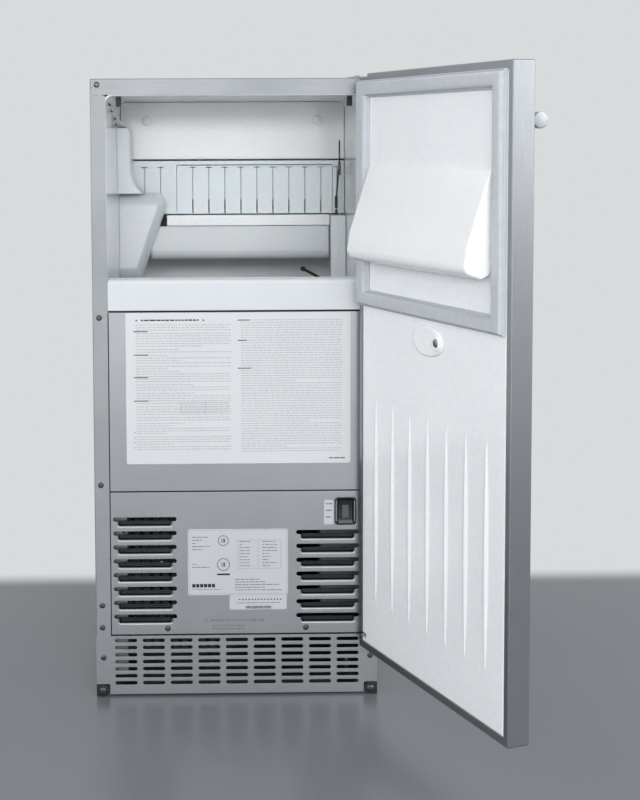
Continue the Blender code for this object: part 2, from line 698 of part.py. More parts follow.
def build_machine(cabinet):
    """Compressor, condenser, fan, control box, drier, water inlet and drain."""
    profile = [
        (0.0, 0.0), (0.0, 0.0720), (0.0060, 0.0720), (0.0120, 0.0600), (0.0900, 0.0640),
        (0.1300, 0.0590), (0.1600, 0.0420), (0.1700, 0.0180), (0.1710, 0.0),
    ]
    turned("compressor", BLACK_PAINT, cabinet, profile, COMPRESSOR, (0, 0, 1), 24)

    rim, channel, pitch = 0.0080, 0.0050, 0.0125
    low, high = CONDENSER_Z
    channels = []
    for i in range(12):
        left = CONDENSER_X[0] + rim + pitch * i
        channels.append(rectangle(left, low + rim, left + channel, high - rim))
    frame = rectangle(CONDENSER_X[0], low, CONDENSER_X[1], high)
    prism("condenser", ALUMINIUM, cabinet, "Y", frame, CONDENSER_Y, channels)

    x, z = FAN
    prism(
        "fan_shroud", GALVANISED, cabinet, "Y",
        rectangle(x - 0.070, z - 0.070, x + 0.070, z + 0.070), (0.0740, 0.0755),
        [circle(x, z, FAN_HOLE, 24)],
    )
    rod("fan_motor", BLACK_PAINT, cabinet, (x, 0.0900, z), (0, 1, 0), 0.0380, 0.0240)
    spin = empty("fan_axis", (x, FAN_CENTRE, z), cabinet)
    start = (x, FAN_CENTRE - 0.0080, z)
    hub = rod("fan_blade", BLACK_PLASTIC, spin, start, (0, 1, 0), 0.0150, 0.0110)
    for i in range(4):
        build_blade(hub, spin, i, x, z)

    block("control_box", BLACK_PLASTIC, cabinet, *CONTROL_BOX)
    drier = [
        (0.0, 0.0), (0.0, 0.0030), (0.0120, 0.0040), (0.0220, 0.0100),
        (0.0920, 0.0100), (0.1020, 0.0040), (0.1120, 0.0030), (0.1120, 0.0),
    ]
    turned("filter_drier", COPPER, cabinet, drier, DRIER, (0, 0, 1), 14)

    bore = [(0.0660, 0.0100), (0.0660, 0.0060), (0.0500, 0.0060), (0.0500, 0)]
    valve = [(0, 0), (0, 0.0180), (0.0380, 0.0180), (0.0385, 0.0100)] + bore
    start = (WATER_INLET[0], DEPTH - 0.0480, WATER_INLET[1])
    turned("water_inlet_valve", BRASS, cabinet, valve, start, (0, 1, 0), 16)
    bore = [(0.0480, 0.0110), (0.0480, 0.0075), (0.0150, 0.0075), (0.0150, 0)]
    spigot = [(0, 0), (0, 0.0150), (0.0180, 0.0150), (0.0185, 0.0110)] + bore
    start = (DRAIN[0], DEPTH - 0.0300, DRAIN[1])
    turned("drain_spigot", BLACK_PLASTIC, cabinet, spigot, start, (0, 1, 0), 16)


def build_blade(hub, spin, number, x, z):
    """One twisted blade, rooted in the fan's hub."""
    bm = bmesh.new()
    corners = []
    for radius, half_chord, pitch in ((0.0080, 0.0060, 40), (FAN_RADIUS, 0.0170, 24)):
        for along in (-1, 1):
            for face in (-0.0006, 0.0006):
                swing = along * half_chord * math.cos(math.radians(pitch)) / radius
                lift = along * half_chord * 0.3 * math.sin(math.radians(pitch))
                angle = swing + number * math.pi / 2
                y = FAN_CENTRE + lift + face
                corners.append((x + radius * math.cos(angle), y, z + radius * math.sin(angle)))
    verts = [bm.verts.new(corner) for corner in corners]
    for ring in ((0, 1, 3, 2), (4, 6, 7, 5), (0, 4, 5, 1), (2, 3, 7, 6), (0, 2, 6, 4), (1, 5, 7, 3)):
        bm.faces.new([verts[i] for i in ring])
    blade = add(f"fan_blade_{number}", bm, None, spin)
    boolean(hub, blade, "UNION")


# ---------------------------------------------------------------- door


def across(distance):
    """X, on the shut door, of a distance from the door's hinge edge."""
    return HALF_WIDTH - distance


def pocket(name, door, low, high):
    """A cutter for the room that a hinge arm sweeps in the door's hinge edge."""
    front, back = DOOR_OUTER + 0.0023, DOOR_INNER + 0.0100
    return block(name, None, door, (0.1655, front, low), (0.2000, back, high))


def build_hinges(cabinet, door):
    """Two arms fixed to the cabinet, inside pockets of the door, and the pins they carry."""
    x, y = PIVOT
    nose = [
        (x + ARM_HALF * math.cos(math.radians(a)), y + ARM_HALF * math.sin(math.radians(a)))
        for a in range(180, 361, 30)
    ]
    right, plate_front = HALF_WIDTH - GAP, 0.0020
    plate = [
        (x + ARM_HALF, plate_front), (right, plate_front), (right, HINGE_SEAT_Y),
        (HINGE_SEAT_X, HINGE_SEAT_Y), (HINGE_SEAT_X, plate_front), (x - ARM_HALF, plate_front),
    ]
    upper_low = TOP - HINGE_SEAT + GAP
    prism(
        "upper_hinge_bracket", ZINC, cabinet, "Z", nose + plate,
        (upper_low, upper_low + HINGE_PLATE), [circle(x, y, PIN_HOLE, 16)],
    )

    stub = [(x + ARM_HALF, -0.0010), (x - ARM_HALF, -0.0010)]
    lower = prism(
        "lower_hinge_bracket", ZINC, cabinet, "Z", nose + stub,
        (LOWER_ARM, LOWER_ARM + LOWER_ARM_THICK), [circle(x, y, PIN_HOLE, 16)],
    )
    leg = block(
        "lower_hinge_leg", None, cabinet,
        (FLANGE + 0.001, -0.0021, LOWER_ARM - 0.0040), (right, -GAP, LOWER_ARM + 0.0360),
    )
    boolean(lower, leg, "UNION")
    rod("upper_hinge_pin", ZINC, door, (x, y, 0.8040), (0, 0, 1), 0.0186, PIN_RADIUS, 16)
    rod("lower_hinge_pin", ZINC, door, (x, y, 0.0780), (0, 0, 1), 0.0240, PIN_RADIUS, 16)


def build_door_shell(door):
    """Stainless skin with its hem, the foam in it and the white liner."""
    left, right = across(DOOR_WIDTH), across(0.0)
    x, y = PIVOT
    skin = block("door_skin", STAINLESS, door, (left, DOOR_OUTER, DOOR_LOW), (right, DOOR_INNER, DOOR_HIGH))
    sheet = DOOR_SHEET
    room = block(
        "skin_room", None, door,
        (left + sheet, DOOR_OUTER + sheet, DOOR_LOW + sheet),
        (right - sheet, DOOR_INNER - sheet, DOOR_HIGH - sheet),
    )
    hem = block(
        "skin_opening", None, door,
        (left + DOOR_HEM, DOOR_INNER - 0.0040, DOOR_LOW + DOOR_HEM),
        (right - DOOR_HEM, DOOR_INNER + 0.0100, DOOR_HIGH - DOOR_HEM),
    )
    boolean(skin, room)
    boolean(skin, hem)

    inset = sheet + GAP
    foam = block(
        "door_insulation", FOAM, door,
        (left + inset, DOOR_OUTER + inset, DOOR_LOW + inset),
        (right - inset, DOOR_INNER - 0.0028, DOOR_HIGH - inset),
    )
    for name, low, high in (("lower", 0.0780, 0.1020), ("upper", 0.8040, 0.8240)):
        length = high - low + 2 * GAP
        hole = rod(f"{name}_pin_hole", None, door, (x, y, low - GAP), (0, 0, 1), length, PIN_HOLE, 16)
        boolean(foam, hole)

    edge = DOOR_HEM + GAP
    liner = block(
        "door_liner", WHITE_ABS, door,
        (left + edge, DOOR_INNER - 0.0025, DOOR_LOW + edge), (right - edge, DOOR_INNER, DOOR_HIGH - edge),
    )
    middle = (left + right) / 2
    for i in range(RIB_COUNT):
        boolean(liner, build_rib(door, i, middle + RIB_PITCH * (i - (RIB_COUNT - 1) / 2)), "UNION")

    sweeps = (
        ("lower", LOWER_ARM - ARM_ROOM, LOWER_ARM + LOWER_ARM_THICK + ARM_ROOM),
        ("upper", TOP - HINGE_SEAT - GAP, DOOR_HIGH + 0.0100),
    )
    for name, low, high in sweeps:
        for target in (skin, foam, liner):
            boolean(target, pocket(f"{name}_pocket_{target.name}", door, low, high))


def build_rib(door, number, x):
    """A long lens-shaped stiffening rib of the liner."""
    steps, half, length = 6, 0.0070, RIB_HIGH - RIB_LOW
    shares = [i / steps for i in range(steps + 1)]
    outline = [(x + half * math.sin(math.pi * s), RIB_LOW + length * s) for s in shares]
    outline += [(x - half * math.sin(math.pi * s), RIB_LOW + length * s) for s in shares[-2:0:-1]]
    span = (DOOR_INNER - 0.0012, DOOR_INNER + RIB_PROUD)
    return prism(f"liner_rib_{number}", None, door, "Y", outline, span)


def build_door_fittings(door):
    """Gasket, ice deflector, oval cover with its screw, and the towel-bar handle."""
    start, end, low, high = GASKET
    inner = DOOR_INNER + GAP
    frame = rectangle(across(end), low, across(start), high)
    inside = GASKET_HOLE
    hole = rectangle(across(inside[1]), inside[2], across(inside[0]), inside[3])
    crown = inner + GASKET_THICK
    gasket = prism("door_gasket", GASKET_GREY, door, "Y", frame, (inner, crown), [hole])
    bevel_face(gasket, crown, 0.0045)

    section = [
        (inner, 0.5950), (inner, 0.7060), (inner + 0.0025, 0.7060), (inner + 0.0340, 0.6120),
        (inner + 0.0350, 0.6020), (inner + 0.0330, 0.5920), (inner + 0.0270, 0.5860),
        (inner + 0.0180, 0.5850),
    ]
    start, end = across(DEFLECTOR[1]), across(DEFLECTOR[0])
    deflector = prism("ice_deflector", WHITE_ABS, door, "X", section, (start, end))
    wall = 0.0022
    hollow = [
        (inner - 0.0020, 0.5985), (inner - 0.0020, 0.6980), (inner + 0.0024, 0.6980),
        (inner + 0.0312, 0.6120), (inner + 0.0322, 0.6020), (inner + 0.0300, 0.5930),
        (inner + 0.0180, 0.5880),
    ]
    room = prism("deflector_hollow", None, door, "X", hollow, (start + wall, end - wall))
    boolean(deflector, room)

    u, z = BOSS
    half_w, half_h = 0.0375, 0.0185
    angles = [math.radians(a) for a in range(0, 360, 18)]
    oval = [(across(u) + half_w * math.cos(a), z + half_h * math.sin(a)) for a in angles]
    cover_front = DOOR_INNER + 0.0033
    prism("door_boss_cover", WHITE_ABS, door, "Y", oval, (inner, cover_front))
    start = (across(BOSS_SCREW_ACROSS), cover_front + GAP, z)
    rod("door_boss_screw", ZINC, door, start, (0, 1, 0), 0.0030, 0.0060, 16)

    start = (-HANDLE_HALF, DOOR_OUTER - HANDLE_OFFSET, HANDLE_Z)
    rod("handle_bar", STAINLESS, door, start, (1, 0, 0), 2 * HANDLE_HALF, HANDLE_RADIUS, 24)
    for name, x in (("handle_post_left", -POST_X), ("handle_post_right", POST_X)):
        length = HANDLE_OFFSET - HANDLE_RADIUS - 2 * GAP
        start = (x, DOOR_OUTER - GAP, HANDLE_Z)
        rod(name, BLACK_PLASTIC, door, start, (0, -1, 0), length, POST_RADIUS, 16)


def bevel_face(target, level, width):
    """Round the edges of the face that lies at one Y level, on the mesh itself."""
    bm = bmesh.new()
    bm.from_mesh(target.data)
    edges = []
    for edge in bm.edges:
        flat = all(abs(v.co.y - level) < 1e-6 for v in edge.verts)
        if flat and abs(edge.calc_face_angle(0.0)) > math.radians(60):
            edges.append(edge)
    bmesh.ops.bevel(bm, geom=edges, offset=width, segments=2, profile=0.5, affect="EDGES")
    bmesh.ops.recalc_face_normals(bm, faces=bm.faces)
    bm.to_mesh(target.data)
    bm.free()


# ---------------------------------------------------------------- assembly


def centre_on_floor(cabinet):
    """Put the origin under the centre of the whole assembly's bounding box."""
    bpy.context.view_layer.update()
    graph = bpy.context.evaluated_depsgraph_get()
    lows, highs = [math.inf, math.inf], [-math.inf, -math.inf]
    for made in bpy.data.objects:
        if made.type == "EMPTY" or made.hide_render:
            continue
        evaluated = made.evaluated_get(graph)
        mesh = evaluated.to_mesh()
        for vertex in mesh.vertices:
            world = evaluated.matrix_world @ vertex.co
            for i in range(2):
                lows[i] = min(lows[i], world[i])
                highs[i] = max(highs[i], world[i])
        evaluated.to_mesh_clear()
    cabinet.location = (-(lows[0] + highs[0]) / 2, -(lows[1] + highs[1]) / 2, 0.0)
    bpy.context.view_layer.update()


def build():
    """Model the whole ice maker."""
    for old in list(bpy.data.objects):
        bpy.data.objects.remove(old, do_unlink=True)
    cabinet = empty("ice_maker", (0.0, 0.0, 0.0))
    door = empty("door_pivot", (PIVOT[0], PIVOT[1], 0.0), cabinet, DOOR_OPEN)
    build_case(cabinet)
    build_front(cabinet)
    build_switch(cabinet)
    build_insulated_bin(cabinet)
    build_feet(cabinet)
    build_chamber(cabinet)
    build_water_parts(cabinet)
    build_machine(cabinet)
    build_hinges(cabinet, door)
    build_door_shell(door)
    build_door_fittings(door)
    centre_on_floor(cabinet)


build()
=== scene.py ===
"""Finished look of an under-counter ice maker with its door open, built around its fixed solids.

Cabinet axes: X to the right, Y into the depth, Z up from the floor, with the cabinet's front sheet
at Y = 0 and its centre line at X = 0. Door pieces are built for the shut door and carried by the
door's own matrix. Every size is in metres.
"""

from __future__ import annotations

import json
import logging
import math
import random
from collections.abc import Callable, Iterable, Sequence
from dataclasses import dataclass
from enum import Enum

import bmesh
import bpy
from bmesh.types import BMesh
from mathutils import Matrix, Vector

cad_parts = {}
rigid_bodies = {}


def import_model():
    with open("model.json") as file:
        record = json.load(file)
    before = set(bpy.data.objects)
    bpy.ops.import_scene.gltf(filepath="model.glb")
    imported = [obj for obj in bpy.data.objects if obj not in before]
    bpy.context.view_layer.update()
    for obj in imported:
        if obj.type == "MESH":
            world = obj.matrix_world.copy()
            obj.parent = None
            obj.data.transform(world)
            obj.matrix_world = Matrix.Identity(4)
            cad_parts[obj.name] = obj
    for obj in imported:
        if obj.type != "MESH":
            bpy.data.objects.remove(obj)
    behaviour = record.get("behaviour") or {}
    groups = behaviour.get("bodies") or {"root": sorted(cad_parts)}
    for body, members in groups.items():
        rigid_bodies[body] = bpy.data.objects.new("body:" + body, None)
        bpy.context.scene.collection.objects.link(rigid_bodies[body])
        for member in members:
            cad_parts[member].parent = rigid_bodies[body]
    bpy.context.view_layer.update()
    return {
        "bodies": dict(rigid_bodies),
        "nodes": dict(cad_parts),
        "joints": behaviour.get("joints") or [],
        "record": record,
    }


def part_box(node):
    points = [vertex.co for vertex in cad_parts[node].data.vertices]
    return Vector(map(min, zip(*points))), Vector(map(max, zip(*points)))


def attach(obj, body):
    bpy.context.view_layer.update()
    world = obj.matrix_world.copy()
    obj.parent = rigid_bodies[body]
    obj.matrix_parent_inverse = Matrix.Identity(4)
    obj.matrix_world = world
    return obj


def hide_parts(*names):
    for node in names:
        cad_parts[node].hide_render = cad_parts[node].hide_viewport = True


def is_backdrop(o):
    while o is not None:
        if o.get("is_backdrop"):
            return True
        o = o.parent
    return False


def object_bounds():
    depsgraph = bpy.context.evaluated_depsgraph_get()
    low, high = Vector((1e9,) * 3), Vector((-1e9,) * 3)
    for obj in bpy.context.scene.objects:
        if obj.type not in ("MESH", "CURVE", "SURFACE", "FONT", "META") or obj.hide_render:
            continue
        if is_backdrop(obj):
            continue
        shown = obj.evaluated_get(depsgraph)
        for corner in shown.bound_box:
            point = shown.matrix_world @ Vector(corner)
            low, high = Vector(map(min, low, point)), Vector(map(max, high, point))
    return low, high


LOG = logging.getLogger("ice_maker")

Point = tuple[float, float]
Outline = list[Point]
Box = tuple[float, float, float, float]  # lowest X and Z, highest X and Z

SHEET = 0.0012  # thickness of the cabinet's steel
GAP = 0.0003  # clearance between touching pieces
MM = 0.001  # a millimetre in the scene's metres


# ---------------------------------------------------------------- finishes


def linear(code: str) -> tuple[float, float, float, float]:
    """Turn an sRGB hex code into a linear colour.

    Args:
        code: The colour as "#rrggbb".

    Returns:
        Linear red, green and blue, with an alpha of 1.
    """
    values = [int(code[i : i + 2], 16) / 255 for i in (1, 3, 5)]
    red, green, blue = (v / 12.92 if v <= 0.04045 else ((v + 0.055) / 1.055) ** 2.4 for v in values)
    return red, green, blue, 1.0


def add_node(tree: bpy.types.NodeTree, kind: str, inputs: dict | None = None, **settings) -> bpy.types.Node:
    """Add a node with its settings and links.

    Args:
        tree: The node tree that takes it.
        kind: The node's Blender type.
        inputs: Socket name or number to a value, or to the socket that feeds it.
        settings: Properties of the node itself.

    Returns:
        The new node.
    """
    made = tree.nodes.new(kind)
    for key, value in settings.items():
        setattr(made, key, value)
    for socket, source in (inputs or {}).items():
        if isinstance(source, bpy.types.NodeSocket):
            tree.links.new(source, made.inputs[socket])
        else:
            made.inputs[socket].default_value = source
    return made


class Pattern(Enum):
    """The fine pattern that a surface's making leaves in it."""

    GRAIN = "long scratches from brushing"
    PEEL = "slight waviness of moulding or paint"
    SPANGLE = "crystals of a zinc coat"
    CELLS = "open cells of foam"


@dataclass(frozen=True)
class Finish:
    """A real material and how its surface was made.

    Attributes:
        name: The finish's plain name.
        light: sRGB colour of its lighter parts.
        dark: sRGB colour of its darker parts.
        roughness: Lowest and highest roughness over the surface.
        pattern: What the fine pattern is.
        size: Length over which the fine pattern repeats, in millimetres.
        stretch: How much longer the pattern is along X, Y and Z.
        relief: Depth of the fine pattern, in millimetres.
        metallic: 1 for bare metal.
        coat: Strength of a clear gloss over it.
        smudge: Share of the colour that broad handling marks take.
        anisotropy: How far brushing draws out a highlight.
        spread: The way it is drawn out, across the brushed lines.
        scatter: Share of light that passes into the plastic and out again.
    """

    name: str
    light: str
    dark: str
    roughness: Point
    pattern: Pattern = Pattern.PEEL
    size: float = 1.0
    stretch: tuple[float, float, float] = (1.0, 1.0, 1.0)
    relief: float = 0.01
    metallic: float = 0.0
    coat: float = 0.0
    smudge: float = 0.35
    anisotropy: float = 0.0
    spread: tuple[float, float, float] = (0.02, 0.03, 1.0)
    scatter: float = 0.0

    def _fine(self, tree: bpy.types.NodeTree, place: bpy.types.NodeSocket) -> bpy.types.NodeSocket:
        """Add the fine pattern.

        Args:
            tree: The material's nodes.
            place: Position on the surface, in metres.

        Returns:
            The socket that gives the pattern, from 0 to 1.
        """
        scale = [1000 / (self.size * s) for s in self.stretch]
        spread = add_node(tree, "ShaderNodeMapping", {"Vector": place, "Scale": scale})
        if self.pattern in (Pattern.SPANGLE, Pattern.CELLS):
            made = add_node(tree, "ShaderNodeTexVoronoi", {
                "Vector": spread.outputs[0], "Scale": 1.0, "Randomness": 1.0,
            })
            return made.outputs["Color" if self.pattern is Pattern.SPANGLE else "Distance"]
        detail = 5.0 if self.pattern is Pattern.GRAIN else 2.0
        made = add_node(tree, "ShaderNodeTexNoise", {
            "Vector": spread.outputs[0], "Scale": 1.0, "Detail": detail, "Roughness": 0.6,
        })
        return made.outputs["Fac"]

    def material(self) -> bpy.types.Material:
        """Give this finish's material, made once.

        Returns:
            The material, with its own nodes.
        """
        found = bpy.data.materials.get(self.name)
        if found:
            return found
        made = bpy.data.materials.new(self.name)
        made.use_nodes = True
        tree = made.node_tree
        shader = tree.nodes["Principled BSDF"]
        shader.inputs["Metallic"].default_value = self.metallic
        shader.inputs["Coat Weight"].default_value = self.coat
        shader.inputs["Coat Roughness"].default_value = 0.05
        shader.inputs["Anisotropic"].default_value = self.anisotropy
        shader.inputs["Subsurface Weight"].default_value = self.scatter
        shader.inputs["Subsurface Scale"].default_value = 0.004
        place = add_node(tree, "ShaderNodeTexCoord").outputs["Object"]
        fine = self._fine(tree, place)
        broad = add_node(tree, "ShaderNodeTexNoise", {
            "Vector": place, "Scale": 9.0, "Detail": 3.0, "Roughness": 0.55,
        })
        share = add_node(tree, "ShaderNodeMix", {
            "Factor": self.smudge, "A": fine, "B": broad.outputs["Fac"],
        }, data_type="FLOAT")
        spread = add_node(tree, "ShaderNodeMapRange", {
            "Value": share.outputs[0], "From Min": 0.3, "From Max": 0.7,
        }, interpolation_type="SMOOTHSTEP")
        colour = add_node(tree, "ShaderNodeMix", {"Factor": spread.outputs[0]}, data_type="RGBA")
        # Mix has sockets of the same name for each data type, so the colour ones go by number
        for number, code in ((6, self.dark), (7, self.light)):
            colour.inputs[number].default_value = linear(code)
        rough = add_node(tree, "ShaderNodeMapRange", {
            "Value": share.outputs[0], "From Min": 0.25, "From Max": 0.75,
            "To Min": self.roughness[1], "To Max": self.roughness[0],
        })
        bump = add_node(tree, "ShaderNodeBump", {
            "Height": fine, "Strength": 1.0, "Distance": self.relief * MM,
        })
        tree.links.new(colour.outputs[2], shader.inputs["Base Color"])
        tree.links.new(rough.outputs[0], shader.inputs["Roughness"])
        tree.links.new(bump.outputs[0], shader.inputs["Normal"])
        if self.anisotropy:
            along = add_node(tree, "ShaderNodeCombineXYZ", dict(enumerate(self.spread)))
            tree.links.new(along.outputs[0], shader.inputs["Tangent"])
        made.diffuse_color = linear(self.light)
        return made


# ---------------------------------------------------------------- mesh building


class Plane(Enum):
    """The axes that an outline's two coordinates and its height follow."""

    XY = (0, 1, 2)
    XZ = (0, 2, 1)
    YZ = (1, 2, 0)

    def point(self, u: float, v: float, w: float) -> Vector:
        """Give the point at u and v in the plane and w above it."""
        made = Vector((0.0, 0.0, 0.0))
        for axis, value in zip(self.value, (u, v, w)):
            made[axis] = value
        return made


def rounded(low: Point, high: Point, radius: float, steps: int = 4) -> Outline:
    """Give a rectangle with round corners.

    Args:
        low: Its lowest corner.
        high: Its highest corner.
        radius: Corner radius, kept under half of the shorter side.
        steps: Straight parts of each corner.

    Returns:
        The outline, counter-clockwise.
    """
    radius = min(radius, (high[0] - low[0]) / 2 - 1e-5, (high[1] - low[1]) / 2 - 1e-5)
    corners = ((high[0], low[1], -90), (high[0], high[1], 0), (low[0], high[1], 90), (low[0], low[1], 180))
    made = []
    for u, v, start in corners:
        centre_u = u + (radius if u == low[0] else -radius)
        centre_v = v + (radius if v == low[1] else -radius)
        for i in range(steps + 1):
            angle = math.radians(start + 90 * i / steps)
            made.append((centre_u + radius * math.cos(angle), centre_v + radius * math.sin(angle)))
    return made


def circle(centre: Point, radius: float, steps: int = 32) -> Outline:
    """Give a circle's corners."""
    angles = [2 * math.pi * i / steps for i in range(steps)]
    return [(centre[0] + radius * math.cos(a), centre[1] + radius * math.sin(a)) for a in angles]


def arc(centre: Point, radius: float, start: float, end: float, steps: int = 6) -> Outline:
    """Give the points of an arc.

    Args:
        centre: Its centre.
        radius: Its radius.
        start: First angle, in degrees.
        end: Last angle, in degrees.
        steps: Number of straight parts.

    Returns:
        The arc's points, both ends with them.
    """
    angles = [math.radians(start + (end - start) * i / steps) for i in range(steps + 1)]
    return [(centre[0] + radius * math.cos(a), centre[1] + radius * math.sin(a)) for a in angles]


def shrunk(outline: Outline, scale: float) -> Outline:
    """Scale an outline about the middle of its box."""
    middle = [(min(p[i] for p in outline) + max(p[i] for p in outline)) / 2 for i in (0, 1)]
    return [(middle[0] + (u - middle[0]) * scale, middle[1] + (v - middle[1]) * scale) for u, v in outline]


def lofted(loops: Sequence[Sequence[Vector]], ring: bool = False) -> BMesh:
    """Skin a row of loops that have equal numbers of points.

    Args:
        loops: The loops, from one end to the other.
        ring: Join the last loop to the first, with no end faces.

    Returns:
        One closed mesh.
    """
    bm = bmesh.new()
    rings = [[bm.verts.new(point) for point in loop] for loop in loops]
    pairs = list(zip(rings, rings[1:]))
    if ring:
        pairs.append((rings[-1], rings[0]))
    count = len(rings[0])
    for first, second in pairs:
        for i in range(count):
            j = (i + 1) % count
            bm.faces.new((first[i], first[j], second[j], second[i]))
    if not ring:
        bm.faces.new(rings[0])
        bm.faces.new(rings[-1])
    bmesh.ops.recalc_face_normals(bm, faces=bm.faces)
    return bm


def plate(
    outline: Outline, low: float, high: float, plane: Plane = Plane.XZ,
    holes: Iterable[Outline] = (), edge: float = 0.0002,
) -> BMesh:
    """Cut a sheet to an outline with holes and break its sharp edges.

    Args:
        outline: The sheet's outline.
        low: Where the sheet starts across the plane.
        high: Where it ends.
        plane: The plane that the outline lies in.
        holes: Outlines of its holes.
        edge: Width of the broken edges, or 0 to leave them sharp.

    Returns:
        One closed mesh.
    """
    bm = bmesh.new()
    edges = []
    for loop in (outline, *holes):
        verts = [bm.verts.new(plane.point(u, v, low)) for u, v in loop]
        edges += [bm.edges.new(pair) for pair in zip(verts, verts[1:] + verts[:1])]
    filled = bmesh.ops.triangle_fill(bm, use_beauty=True, use_dissolve=False, edges=edges)
    faces = [item for item in filled["geom"] if isinstance(item, bmesh.types.BMFace)]
    raised = bmesh.ops.extrude_face_region(bm, geom=faces)
    moved = [item for item in raised["geom"] if isinstance(item, bmesh.types.BMVert)]
    bmesh.ops.translate(bm, vec=plane.point(0, 0, high - low), verts=moved)
    bmesh.ops.recalc_face_normals(bm, faces=bm.faces)
    if edge:
        across = plane.value[2]
        rim = [
            e for e in bm.edges
            if abs(e.verts[0].co[across] - e.verts[1].co[across]) < 1e-7 and e.calc_face_angle(0.0) > 1.0
        ]
        bmesh.ops.bevel(bm, geom=rim, offset=edge, segments=2, profile=0.5, affect="EDGES")
    return bm


def block(low: Sequence[float], high: Sequence[float], edge: float = 0.0005) -> BMesh:
    """Make a block whose twelve edges are all rounded.

    Args:
        low: Its lowest corner.
        high: Its highest corner.
        edge: Radius of its edges.

    Returns:
        One closed mesh.
    """
    bm = plate([(low[0], low[1]), (high[0], low[1]), (high[0], high[1]), (low[0], high[1])],
               low[2], high[2], Plane.XY, edge=0.0)
    sharp = [e for e in bm.edges if e.calc_face_angle(0.0) > 1.0]
    bmesh.ops.bevel(bm, geom=sharp, offset=edge, segments=3, profile=0.5, affect="EDGES")
    return bm


def turned(
    profile: Sequence[Point], start: Sequence[float], direction: Sequence[float], steps: int = 32
) -> BMesh:
    """Turn a profile about an axis.

    Args:
        profile: Pairs of distance along the axis and radius, with both ends on the axis.
        start: Where the axis starts.
        direction: Which way it runs.
        steps: Number of sides.

    Returns:
        One closed mesh.
    """
    bm = bmesh.new()
    line = [bm.verts.new((radius, 0.0, along)) for along, radius in profile]
    edges = [bm.edges.new(pair) for pair in zip(line, line[1:])]
    bmesh.ops.spin(
        bm, geom=line + edges, axis=(0, 0, 1), cent=(0, 0, 0),
        angle=2 * math.pi, steps=steps, use_merge=True,
    )
    bmesh.ops.remove_doubles(bm, verts=bm.verts, dist=1e-7)
    turn = Vector((0, 0, 1)).rotation_difference(Vector(direction)).to_matrix().to_4x4()
    bmesh.ops.transform(bm, matrix=Matrix.Translation(start) @ turn, verts=bm.verts)
    bmesh.ops.recalc_face_normals(bm, faces=bm.faces)
    return bm


def pillow(
    us: Sequence[float], vs: Sequence[float], height: Callable[[float, float], float],
    base: float, plane: Plane = Plane.XZ,
) -> BMesh:
    """Make a closed sheet whose one face follows a height and whose other face is flat.

    Args:
        us: Grid lines across.
        vs: Grid lines up.
        height: The height over u and v.
        base: Where the flat face lies.
        plane: The plane of the grid.

    Returns:
        One closed mesh.
    """
    bm = bmesh.new()
    shaped = [[bm.verts.new(plane.point(u, v, height(u, v))) for u in us] for v in vs]
    flat = [[bm.verts.new(plane.point(u, v, base)) for u in us] for v in vs]
    for grid in (shaped, flat):
        for row, above in zip(grid, grid[1:]):
            for i in range(len(us) - 1):
                bm.faces.new((row[i], row[i + 1], above[i + 1], above[i]))
    rims = []
    for grid in (shaped, flat):
        right, left = [row[-1] for row in grid[1:-1]], [row[0] for row in grid[-2:0:-1]]
        rims.append(grid[0] + right + grid[-1][::-1] + left)
    for i in range(len(rims[0])):
        j = (i + 1) % len(rims[0])
        bm.faces.new((rims[0][i], rims[0][j], rims[1][j], rims[1][i]))
    bmesh.ops.recalc_face_normals(bm, faces=bm.faces)
    return bm


def joined(*parts: BMesh) -> BMesh:
    """Put several meshes into one and free them."""
    bm = bmesh.new()
    for part in parts:
        mesh = bpy.data.meshes.new("part")
        part.to_mesh(mesh)
        part.free()
        bm.from_mesh(mesh)
        bpy.data.meshes.remove(mesh)
    return bm


def carved(bm: BMesh, tools: Iterable[BMesh]) -> BMesh:
    """Cut tools out of a mesh.

    Args:
        bm: The mesh to change, which is freed.
        tools: Closed meshes, which are freed.

    Returns:
        The changed mesh.
    """
    objects = []
    for number, part in enumerate((bm, *tools)):
        mesh = bpy.data.meshes.new(f"carving_{number}")
        part.to_mesh(mesh)
        part.free()
        made = bpy.data.objects.new(f"carving_{number}", mesh)
        bpy.context.scene.collection.objects.link(made)
        objects.append(made)
    for tool in objects[1:]:
        modifier = objects[0].modifiers.new("cut", "BOOLEAN")
        modifier.operation, modifier.solver = "DIFFERENCE", "EXACT"
        modifier.object = tool
    graph = bpy.context.evaluated_depsgraph_get()
    evaluated = objects[0].evaluated_get(graph)
    changed = bmesh.new()
    changed.from_mesh(evaluated.to_mesh())
    evaluated.to_mesh_clear()
    for made in objects:
        mesh = made.data
        bpy.data.objects.remove(made)
        bpy.data.meshes.remove(mesh)
    return changed


def bars(boxes: Iterable[Box], back: float, front: float) -> BMesh:
    """Make raised bars of ink for lines of print.

    Args:
        boxes: Lowest X and Z and highest X and Z of each bar.
        back: Y of the bars' backs.
        front: Y of their faces.

    Returns:
        The bars in one mesh, each of them closed.
    """
    bm = bmesh.new()
    for x0, z0, x1, z1 in boxes:
        corners = ((x0, z0), (x1, z0), (x1, z1), (x0, z1))
        near, far = [[bm.verts.new((x, y, z)) for x, z in corners] for y in (front, back)]
        bm.faces.new(near)
        bm.faces.new(far[::-1])
        for i in range(4):
            j = (i + 1) % 4
            bm.faces.new((near[i], far[i], far[j], near[j]))
    bmesh.ops.recalc_face_normals(bm, faces=bm.faces)
    return bm


# ---------------------------------------------------------------- placing


